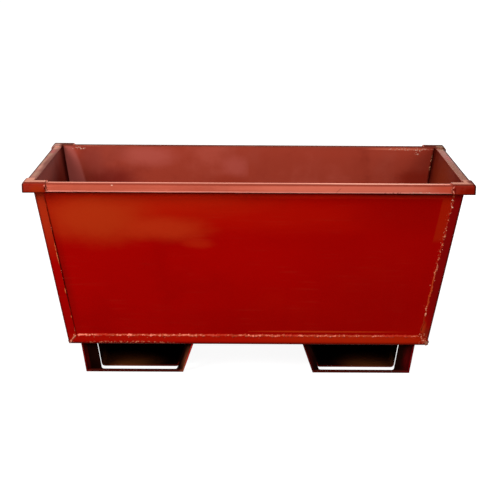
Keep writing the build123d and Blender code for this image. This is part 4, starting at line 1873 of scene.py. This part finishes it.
# Strips of the end walls and band of the floor, outside
STRIP_EDGE_HIGHLIGHTS = ((0.352, 0.0017, 0.04), (0.243, 0.0017, 0.012), (0.166, 0.0018, 0.006))
on_strip = Face(ACROSS, -0.29, 0.1).patch
on_corner = Face(ACROSS, -0.25, 0.1).patch
on_band = Face(ACROSS, -0.23, 0.1).patch
SHEET_PATCHES = (
    # Painted light on the left strip, painted shade on the right strip, and a band brighter to the right
    on_strip(-0.565, 0.47, 0.05, 0.17, (0.385, 0.024, 0.005), 0.9),
    on_strip(0.567, 0.33, 0.03, 0.34, (0.21, 0.0017, 0.002), 0.95, 0.4),
    on_band(0.0, 0.098, 0.9, 0.03, (0.44, 0.007, 0.001), 0.85),
    on_band(0.4, 0.098, 0.4, 0.03, (0.45, 0.018, 0.002), 0.8),
    # Bottom corners
    on_corner(0.566, 0.115, 0.02, 0.035, (0.2, 0.012, 0.004), 0.8),
    on_corner(-0.575, 0.09, 0.014, 0.014, (0.1, 0.005, 0.001), 0.85),
    on_corner(0.553, 0.132, 0.012, 0.035, (0.4, 0.04, 0.008), 0.7),
    # Flecks on the bottom edge, and painted highlights on stretches of the left strip's edge
    on_band(-0.41, 0.0875, 0.16, 0.006, (0.86, 0.24, 0.12), 0.95, 0.4, 0.3, speckle=1.0),
    *(on_strip(-0.5526, *stretch, (0.7, 0.16, 0.05), 0.9, 0.5, 0.3) for stretch in STRIP_EDGE_HIGHLIGHTS),
)

# End walls, inside: painted shade, with dark tones, the left wall darker than the right, and dark lines in
# the rear corners
END_INSIDE_TONES = Tones((0.1, 0.008, 0.003), (0.07, 0.005, 0.002), (0.13, 0.014, 0.008))
on_left_end = Face(ALONG, -0.57, 0.05).patch
on_right_end = Face(ALONG, 0.57, 0.05).patch
END_INSIDE_PATCHES = (
    on_left_end(-0.1, 0.53, 0.35, 0.06, (0.16, 0.022, 0.012), 0.7),
    on_left_end(0.285, 0.47, 0.05, 0.13, PAINTED_SHADE, 0.85),
    on_right_end(0.285, 0.47, 0.02, 0.13, PAINTED_SHADE, 0.7),
    on_right_end(0.05, 0.48, 0.25, 0.12, (0.165, 0.0165, 0.0035), 0.9),
    on_left_end(0.11, 0.46, 0.2, 0.09, (0.075, 0.004, 0.001), 0.85),
    on_right_end(-0.1, 0.49, 0.2, 0.08, (0.14, 0.012, 0.0025), 0.75),
)

# Floor and rear wall, inside
FLOOR_INSIDE_TONES = Tones((0.2, 0.026, 0.014), (0.14, 0.016, 0.009), (0.25, 0.042, 0.026))
on_rear = Face(ACROSS, 0.27, 0.2).patch
REAR_PATCHES = (
    # Two pale clouds and a dark left
    on_rear(-0.31, 0.525, 0.12, 0.045, (0.38, 0.074, 0.055), 0.7),
    on_rear(-0.05, 0.492, 0.06, 0.05, (0.37, 0.07, 0.052), 0.65),
    on_rear(-0.44, 0.455, 0.13, 0.055, (0.15, 0.012, 0.008), 0.85),
    on_rear(-0.485, 0.51, 0.06, 0.06, (0.2, 0.026, 0.017), 0.8),
    # A pale strip in the left corner, a painted reflection, with a painted shade line behind it
    on_rear(-0.549, 0.42, 0.039, 0.17, (0.36, 0.08, 0.064), 0.9, 0.25, 0.1, lean=-0.06),
    on_rear(-0.571, 0.44, 0.007, 0.1, PAINTED_SHADE, 0.9, 0.6),
    # Painted shade towards the right and low down, and a painted shade line with specks in the right corner
    on_rear(0.58, 0.48, 0.11, 0.16, (0.17, 0.014, 0.007), 0.65),
    on_rear(-0.09, 0.449, 0.14, 0.032, (0.25, 0.026, 0.012), 0.7),
    on_rear(0.52, 0.458, 0.09, 0.04, (0.17, 0.007, 0.002), 0.6),
    on_rear(0.566, 0.49, 0.005, 0.1, PAINTED_SHADE, 0.75),
    on_rear(0.566, 0.5, 0.005, 0.04, (0.5, 0.22, 0.11), 0.8, 0.6, 0.3, speckle=1.0),
    # A warm line and cream specks under the rim
    on_rear(0.46, 0.5495, 0.13, 0.0045, (0.5, 0.11, 0.06), 0.8, 0.6),
    on_rear(0.49, 0.549, 0.09, 0.004, CREAM, 0.7, 0.5, 0.4, speckle=1.0),
    on_rear(0.517, 0.541, 0.012, 0.01, CREAM, 0.95, 0.4, 0.4, speckle=1.0),
    on_rear(-0.522, 0.548, 0.032, 0.0045, CREAM, 0.9, 0.5, 0.4, speckle=1.0),
)

# Side and rear rails
RAIL_TONES = Tones((0.34, 0.06, 0.036), (0.27, 0.045, 0.028), (0.4, 0.08, 0.05))
RAIL_EDGE_SHADE = (0.03, 0.012, 0.01)
RAIL_PINK = (0.32, 0.075, 0.07)
RAIL_TAN = (0.32, 0.17, 0.115)
RAIL_PALE = (0.46, 0.22, 0.16)
RAIL_DULL = (0.17, 0.062, 0.05)
RAIL_BROWN = (0.2, 0.08, 0.048)
on_rail = Face(UP, 0.556, 0.02).patch
on_rail_bend = Face(UP, 0.5565, 0.0045).patch
SIDE_RAIL_PATCHES = (
    # Left rail, from the rear to the front
    on_rail(-0.585, 0.245, 0.02, 0.035, RAIL_PALE, 0.8),
    on_rail(-0.585, 0.18, 0.016, 0.045, RAIL_PINK, 0.8),
    on_rail(-0.587, 0.12, 0.014, 0.04, RAIL_TAN, 0.8),
    on_rail(-0.578, 0.0, 0.009, 0.08, RAIL_DULL, 0.75),
    on_rail(-0.59, 0.01, 0.01, 0.07, RAIL_TAN, 0.85),
    on_rail(-0.585, -0.08, 0.014, 0.05, RAIL_PALE, 0.55),
    on_rail(-0.58, -0.18, 0.012, 0.06, RAIL_TAN, 0.7),
    # Right rail, from the rear to the front
    on_rail(0.583, 0.245, 0.016, 0.03, RAIL_TAN, 0.85),
    on_rail(0.595, 0.235, 0.009, 0.03, (0.13, 0.035, 0.022), 0.8),
    on_rail(0.585, 0.1, 0.016, 0.06, RAIL_PINK, 0.7),
    on_rail(0.59, -0.05, 0.016, 0.14, RAIL_DULL, 0.7),
    on_rail(0.578, -0.06, 0.012, 0.16, RAIL_BROWN, 0.85),
    on_rail(0.585, -0.2, 0.02, 0.12, RAIL_BROWN, 0.8),
    # Painted shade along the inner edge of the left rail and the outer edges of both
    on_rail(-0.571, 0.0, 0.015, 0.4, (0.13, 0.04, 0.028), 0.7),
    on_rail_bend(-0.597, 0.0, 0.0085, 3.0, RAIL_EDGE_SHADE, 0.9, 0.4, 0.1, square=1.0),
    on_rail_bend(0.597, 0.0, 0.0095, 3.0, RAIL_EDGE_SHADE, 0.95, 0.35, 0.1, square=1.0),
)
REAR_RAIL_PATCHES = (
    # Painted shade along the top outer edge of the rear rail
    PaintPatch((0.0, 0.321, 0.5565), (3.0, 0.023, 0.004), (0.03, 0.005, 0.002), 0.85, 0.5, 0.1, square=1.0),
)

# Front rail: the face is paler than the other rails, partly its own paint and partly a painted reflection
FRONT_RAIL_TONES = Tones((0.51, 0.094, 0.055), (0.46, 0.078, 0.044), (0.55, 0.11, 0.068))
on_rail_face = Face(ACROSS, -0.32, 0.1).patch
on_rail_foot = Face(ACROSS, -0.32, 0.05).patch
FRONT_RAIL_PATCHES = (
    # Face: duller left, painted light on the right, redder end; painted shade along the bend above it
    on_rail_face(-0.4, 0.545, 0.22, 0.0115, (0.45, 0.079, 0.042), 0.75, 0.6),
    on_rail_face(0.24, 0.545, 0.4, 0.0115, (0.64, 0.142, 0.087), 0.8, 0.6),
    on_rail_face(0.53, 0.545, 0.08, 0.02, (0.5, 0.062, 0.03), 0.85),
    PaintPatch((0.0, -0.311, 0.555), (3.0, 0.0088, 0.0052), (0.2, 0.026, 0.013), 0.9, 0.5, 0.15),
    # A scratch, a painted highlight on the right part of the top, nicks along the foot and one bare spot
    on_rail_foot(0.237, 0.541, 0.0012, 0.009, (0.26, 0.035, 0.017), 0.85, 0.5, 0.1, lean=1.1),
    PaintPatch((0.36, -0.298, 0.556), (0.3, 0.012, 0.004), (0.82, 0.36, 0.26), 0.75, 0.6),
    on_rail_foot(0.42, 0.534, 0.1, 0.0028, (0.1, 0.01, 0.006), 0.85, 0.5, 0.2, speckle=1.0),
    on_rail_foot(0.46, 0.5355, 0.06, 0.0025, CREAM, 0.9, 0.5, 0.2, speckle=1.0),
    PaintPatch((-0.362, -0.318, 0.552), (0.0035, 0.01, 0.002), (0.9, 0.6, 0.45), 0.9),
)

# Corner caps
CAP_TONES = Tones((0.24, 0.008, 0.0015), (0.2, 0.004, 0.001), (0.27, 0.013, 0.003))
CAP_EDGE_SHADE = (0.05, 0.003, 0.001)
on_cap = Face(ACROSS, -0.32, 0.02).patch
on_cap_end = Face(ACROSS, -0.32, 0.0065).patch
on_cap_bend = Face(UP, 0.5605, 0.006).patch
on_rear_cap = Face(UP, 0.5605, 0.0045).patch
CAP_PATCHES = (
    # Tops of the rear caps
    PaintPatch((-0.57, 0.3, 0.56), (0.09, 0.1, 0.012), (0.13, 0.034, 0.024), 0.85),
    PaintPatch((0.57, 0.3, 0.56), (0.09, 0.1, 0.012), (0.12, 0.02, 0.012), 0.85),
    PaintPatch((-0.587, 0.283, 0.561), (0.014, 0.035, 0.01), (0.4, 0.2, 0.155), 0.9, 0.4),
    PaintPatch((0.584, 0.283, 0.561), (0.013, 0.03, 0.01), (0.2, 0.1, 0.06), 0.9, 0.4),
    # Faces of the front caps, and the top of the right one
    on_cap(-0.56, 0.54, 0.03, 0.02, (0.3, 0.022, 0.004), 0.8),
    on_cap(0.59, 0.54, 0.03, 0.02, (0.2, 0.005, 0.001), 0.8),
    PaintPatch((0.59, -0.285, 0.563), (0.014, 0.04, 0.009), (0.11, 0.024, 0.022), 0.85, 0.5),
    # Painted shade on the edges of the front caps: outer ends, tops and feet
    on_cap_end(-0.601, 0.545, 0.0075, 0.05, CAP_EDGE_SHADE, 0.9, 0.4, 0.1, square=1.0),
    on_cap_end(0.601, 0.545, 0.0085, 0.05, CAP_EDGE_SHADE, 0.9, 0.4, 0.1, square=1.0),
    on_cap_bend(-0.601, -0.285, 0.009, 0.045, CAP_EDGE_SHADE, 0.85, 0.4, 0.1, square=1.0),
    on_cap_bend(0.601, -0.285, 0.012, 0.045, CAP_EDGE_SHADE, 0.9, 0.4, 0.1, square=1.0),
    *(on_cap(x * 0.57, 0.531, 0.06, 0.0036, CAP_EDGE_SHADE, 0.8, 0.5, 0.2, square=1.0) for x in SIDES),
    # Painted shade on the edges of the rear caps
    *(on_rear_cap(x * 0.57, 0.322, 0.12, 0.029, RAIL_EDGE_SHADE, 0.95, 0.4, 0.1, square=1.0) for x in SIDES),
    on_cap_bend(-0.602, 0.28, 0.0115, 0.06, RAIL_EDGE_SHADE, 0.9, 0.35, 0.1, square=1.0),
    on_cap_bend(0.602, 0.28, 0.0125, 0.06, RAIL_EDGE_SHADE, 0.9, 0.35, 0.1, square=1.0),
)

# Beads at the ends of the caps
CAP_WELD_TONES = Tones((0.3, 0.042, 0.022), (0.06, 0.005, 0.002), (0.4, 0.075, 0.045))
CRACK = (0.025, 0.002, 0.001)
BEAD_PINK_HIGHLIGHT = (0.78, 0.25, 0.17)
on_rear_bead = Face(UP, 0.558, 0.012).patch
CAP_WELD_PATCHES = (
    # Rear beads
    on_rear_bead(-0.587, 0.258, 0.03, 0.012, (0.33, 0.15, 0.115), 0.85),
    on_rear_bead(0.587, 0.258, 0.03, 0.012, (0.11, 0.035, 0.014), 0.85),
    # Front left bead: a painted pink highlight, then two cracks and a bare foot
    on_cap(-0.5398, 0.5508, 0.0021, 0.0038, BEAD_PINK_HIGHLIGHT, 0.85, 0.7, 0.8),
    on_cap(-0.5352, 0.5505, 0.0021, 0.0075, CRACK, 0.95, 0.5, 0.6, lean=0.3),
    on_cap(-0.5382, 0.5425, 0.0027, 0.0045, CRACK, 0.95, 0.5, 0.6, lean=-0.3),
    on_cap(-0.532, 0.5368, 0.0034, 0.0028, (0.9, 0.5, 0.36), 0.95, 0.5),
    # Front right bead: painted pink highlights above and below a crack, dark beside the cap
    on_cap(0.5398, 0.5512, 0.0021, 0.0042, BEAD_PINK_HIGHLIGHT, 0.9, 0.7, 0.9, lean=0.5),
    on_cap(0.539, 0.5455, 0.0026, 0.0024, CRACK, 0.75, 0.7, 0.6, lean=0.6),
    on_cap(0.54, 0.5388, 0.0023, 0.0062, BEAD_PINK_HIGHLIGHT, 0.95, 0.7, 0.9, lean=-0.35),
    on_cap(0.5446, 0.543, 0.0014, 0.009, CRACK, 0.7, 0.6, 0.6),
)

# Right seam's bead: orange low down, then red with bare specks and breaks, and painted highlight specks near
# the top
SEAM_WELD_TONES = Tones((0.33, 0.01, 0.002), (0.16, 0.003, 0.002), (0.42, 0.035, 0.008))
SEAM_RED = (0.3, 0.004, 0.001)
SEAM_BREAKS = (0.334, 0.352, 0.371, 0.392, 0.418, 0.441, 0.462, 0.483)
on_seam = Face(ACROSS, -0.25, 0.2).patch
SEAM_WELD_PATCHES = (
    on_seam(0.53, 0.25, 0.2, 0.085, (0.42, 0.045, 0.01), 0.85, 0.5, 0.4),
    on_seam(0.53, 0.15, 0.2, 0.035, (0.27, 0.016, 0.004), 0.8, 0.5, 0.4),
    on_seam(0.53, 0.42, 0.2, 0.115, SEAM_RED, 0.85, 0.25, 0.3),
    on_seam(0.53, 0.4, 0.2, 0.12, (0.6, 0.2, 0.1), 0.9, 0.25, 0.3, speckle=1.0),
    on_seam(0.53, 0.51, 0.2, 0.035, (0.85, 0.5, 0.36), 0.95, 0.4, 0.3, speckle=1.0),
    *(on_seam(0.53, z, 0.2, 0.0065, SEAM_RED, 0.9, 0.5, 0.5) for z in SEAM_BREAKS),
)

# Other beads: the floor seam's has red breaks
BEAD_TONES = Tones((0.42, 0.038, 0.012), (0.24, 0.008, 0.003), (0.48, 0.058, 0.02))
INSIDE_BEAD_TONES = Tones((0.24, 0.03, 0.015), (0.12, 0.012, 0.006), (0.3, 0.05, 0.03))
LUMP_TONES = Tones((0.1, 0.012, 0.005), (0.03, 0.003, 0.002), (0.2, 0.03, 0.014))
FLOOR_WELD_BREAKS = ((-0.405, 0.024), (-0.086, 0.048), (0.122, 0.026), (0.41, 0.055))
FLOOR_WELD_PATCHES = tuple(
    on_band(x, 0.11, wide, 0.03, (0.42, 0.016, 0.005), 0.85, 0.5, 0.6) for x, wide in FLOOR_WELD_BREAKS
)

# Fork pockets: near black tones, painted shade
POCKET_TONES = Tones((0.005, 0.001, 0.0005), (0.002, 0.0005, 0.0003), (0.009, 0.0016, 0.0008))
SLEEVE_FLOOR_LIGHT = (0.3, 0.085, 0.02)
on_mouth = Face(ACROSS, -0.213, 0.02).patch
on_sleeve_edge = Face(ACROSS, -0.163, 0.0009).patch
on_sleeve_floor = Face(ACROSS, -0.12, 0.1).patch
POCKET_PATCHES = (
    # Lower edges of the sleeves and the frames
    on_sleeve_edge(0.0, 0.0, 3.0, 0.016, (0.09, 0.005, 0.003), 0.9, 0.4, 0.0),
    on_mouth(0.0, 0.002, 3.0, 0.006, (0.07, 0.008, 0.005), 0.85, 0.6, 0.1),
    # Inner legs, then outer legs of the frames: painted light on the left frame's inner leg
    on_mouth(-0.17, 0.04, 0.016, 0.08, (0.4, 0.1, 0.042), 0.9, 1.0, lean=0.327),
    on_mouth(0.172, 0.04, 0.013, 0.08, (0.1, 0.006, 0.004), 0.9, 1.0, lean=-0.327),
    on_mouth(-0.453, 0.04, 0.012, 0.08, (0.22, 0.004, 0.003), 0.9, 1.0, lean=-0.173),
    on_mouth(0.453, 0.04, 0.03, 0.08, (0.2, 0.003, 0.005), 0.9, 1.0, lean=0.173),
    # Painted light on the floors of the sleeves, and on the edge of the left frame's inner leg
    on_sleeve_floor(-0.342, 0.0, 0.125, 0.05, SLEEVE_FLOOR_LIGHT, 0.34),
    on_sleeve_floor(0.352, 0.0, 0.125, 0.042, SLEEVE_FLOOR_LIGHT, 0.31),
    on_mouth(-0.1622, 0.06, 0.0035, 0.06, (0.4, 0.004, 0.007), 0.9, 0.5, 0.1, lean=0.327),
)


@dataclass
class TubPaints:
    """Every finish of the tub. Bands of painted light and shade lie above or below the rails' lower edge or
    the caps' top.
    """

    sizes: TubSizes
    effects: PaintEffects
    under_rim_painted_light: Span = (-0.022, -0.006)
    rim_shade: Span = (-0.0085, 0.1)
    rail_foot_highlight: Span = (-0.001, 0.0046)
    cap_bend_shade: Span = (-0.005, 0.0)

    @staticmethod
    def band(level: float, span: Span, *paint: Feed) -> PaintBand:
        """A band at a level: colour, strength and blur follow its span."""
        return PaintBand(level + span[0], level + span[1], *paint)

    def made(self, **finishes: Finish) -> dict[str, Material]:
        """Make the materials of finishes, by name."""
        return {name: finish.make(self.effects) for name, finish in finishes.items()}

    def sheets(self) -> dict[str, Material]:
        """Finishes of the long walls, the end walls, the floor and the fork pockets.

        Returns:
            The materials by piece.
        """
        rim = self.sizes.rail_bottom
        # Painted light in a band below the front rail, and painted shade right under the rails
        glow = self.band(rim, self.under_rim_painted_light, (0.54, 0.011, 0.0015), 0.5, 0.005)
        shade = self.band(rim, self.rim_shade, PAINTED_SHADE, 0.9, 0.0025)
        return self.made(
            walls=BodyPaint(
                "wall_paint", WALL_TONES, patches=WALL_PATCHES, bands=(glow, shade),
                inside_patches=REAR_PATCHES, marked=True,
            ),
            # Ends: dark inside tones and a dark film, painted shade
            ends=BodyPaint(
                "sheet_paint", WALL_TONES, patches=SHEET_PATCHES, bands=(shade,),
                inside=END_INSIDE_TONES, inside_patches=END_INSIDE_PATCHES, film=(0.2, 0.05, 0.036),
            ),
            floor=BodyPaint(
                "floor_paint", WALL_TONES, patches=SHEET_PATCHES,
                inside=FLOOR_INSIDE_TONES, film=(0.36, 0.17, 0.13), film_amount=0.5,
            ),
            pockets=PocketPaint("fork_pocket_paint", POCKET_TONES, patches=POCKET_PATCHES),
        )

    def rim(self) -> dict[str, Material]:
        """Finishes of the rim rails and the corner caps.

        Returns:
            The materials by side, and that of the caps.
        """
        low, rail_top, cap_top = self.sizes.rail_bottom, self.sizes.rail_top, self.sizes.cap_top
        # Painted highlight on the front rail's lower bend
        foot = self.band(low, self.rail_foot_highlight, (0.78, 0.25, 0.19), 0.85, 0.0012)
        # Painted shade on the caps' top bend
        bend = self.band(cap_top, self.cap_bend_shade, (0.1, 0.012, 0.006), 0.8, 0.001)
        # The front rail's top and its dust are paler than the others' as a painted highlight
        front = RailPaint(
            "front_rail_paint", FRONT_RAIL_TONES, patches=FRONT_RAIL_PATCHES, bands=(foot,),
            top=(0.6, 0.21, 0.147), dust=(0.66, 0.27, 0.2), rub_and_highlight_share=0.04, top_height=rail_top,
        )
        side = RailPaint(
            "side_rail_paint", RAIL_TONES, patches=SIDE_RAIL_PATCHES,
            top=(0.25, 0.098, 0.077), dust=(0.36, 0.18, 0.145), rub_and_highlight_share=0.1, top_height=rail_top,
        )
        # The rear rail takes the side rails' paint with a dark top and dust: painted shade
        rear = replace(
            side, name="rear_rail_paint", patches=REAR_RAIL_PATCHES,
            top=(0.1, 0.017, 0.007), dust=(0.16, 0.04, 0.024),
        )
        caps = RailPaint(
            "corner_cap_paint", CAP_TONES, patches=CAP_PATCHES + CAP_WELD_PATCHES, bands=(bend,),
            top=(0.45, 0.19, 0.135), rub_and_highlight_share=0.04, scratch_share=0.06, top_height=cap_top,
            roughness=0.8, specular=0.01, sheen=(1.0, 0.1, 0.05),
        )
        finishes = self.made(front=front, rear=rear, left=side, caps=caps)
        return finishes | {"right": finishes["left"]}

    def welds(self) -> dict[str, Material]:
        """Finishes of the beads that have their own, of all other beads and of the lumps.

        Returns:
            The materials by piece.
        """
        return self.made(
            plain=WeldPaint("bead_paint", BEAD_TONES, fleck=1.5),
            lumps=WeldPaint(
                "lump_paint", LUMP_TONES, pale=(0.58, 0.24, 0.14), fleck=2.4, grain=Grain(150.0, 3.0, 0.65),
            ),
            floor_seam_welds=WeldPaint(
                "floor_weld_paint", BEAD_TONES, patches=FLOOR_WELD_PATCHES,
                pale=(0.86, 0.21, 0.135), tan=(0.74, 0.19, 0.1), fleck=2.2, grain=Grain(120.0, 3.0, 0.65),
            ),
            corner_seam_welds=WeldPaint(
                "seam_weld_paint", SEAM_WELD_TONES, patches=SEAM_WELD_PATCHES,
                pale=(0.8, 0.32, 0.2), tan=(0.58, 0.17, 0.06), fleck=4.2, grain=Grain(130.0, 3.0, 0.65),
                roughness=0.85, specular=0.02,
            ),
            floor_end_welds=WeldPaint("inside_weld_paint", INSIDE_BEAD_TONES, pale=(0.5, 0.25, 0.18)),
            corner_cap_welds=WeldPaint(
                "cap_weld_paint", CAP_WELD_TONES, patches=CAP_WELD_PATCHES, pale=(0.7, 0.26, 0.17), fleck=2.0,
            ),
        )


def dress(material: Material, *ends: str) -> None:
    """Give kept nodes their finish.

    Args:
        material: the finish.
        ends: what the names of the nodes end with.
    """
    for name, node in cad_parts.items():
        if name.endswith(ends):
            node.data.materials.clear()
            node.data.materials.append(material)
            log.info("%s: kept, finish %s", name, material.name)


def main() -> None:
    """Build the studio, then every sub-assembly in order."""
    logging.basicConfig(level=logging.INFO, format="%(message)s")
    STUDIO.build()
    PhotoCamera().build()

    sizes = TubSizes.from_frame()
    paints = TubPaints(sizes, PaintEffects(sizes))
    sheets, rim, welds = paints.sheets(), paints.rim(), paints.welds()
    LongWalls(sizes, sheets["walls"]).build()
    RimRails(sizes, rim).build()
    CornerCaps(sizes, rim["caps"]).build()
    Welds(sizes, welds["plain"], welds).build()
    WeldSpatter(sizes, welds["plain"], welds["lumps"]).build()
    dress(sheets["ends"], "end_wall")
    dress(sheets["floor"], "floor_tray")
    dress(sheets["pockets"], "fork_sleeve", "mouth_frame", "fork_sleeve_welds", "mouth_frame_welds")


if __name__ == "__main__":
    main()
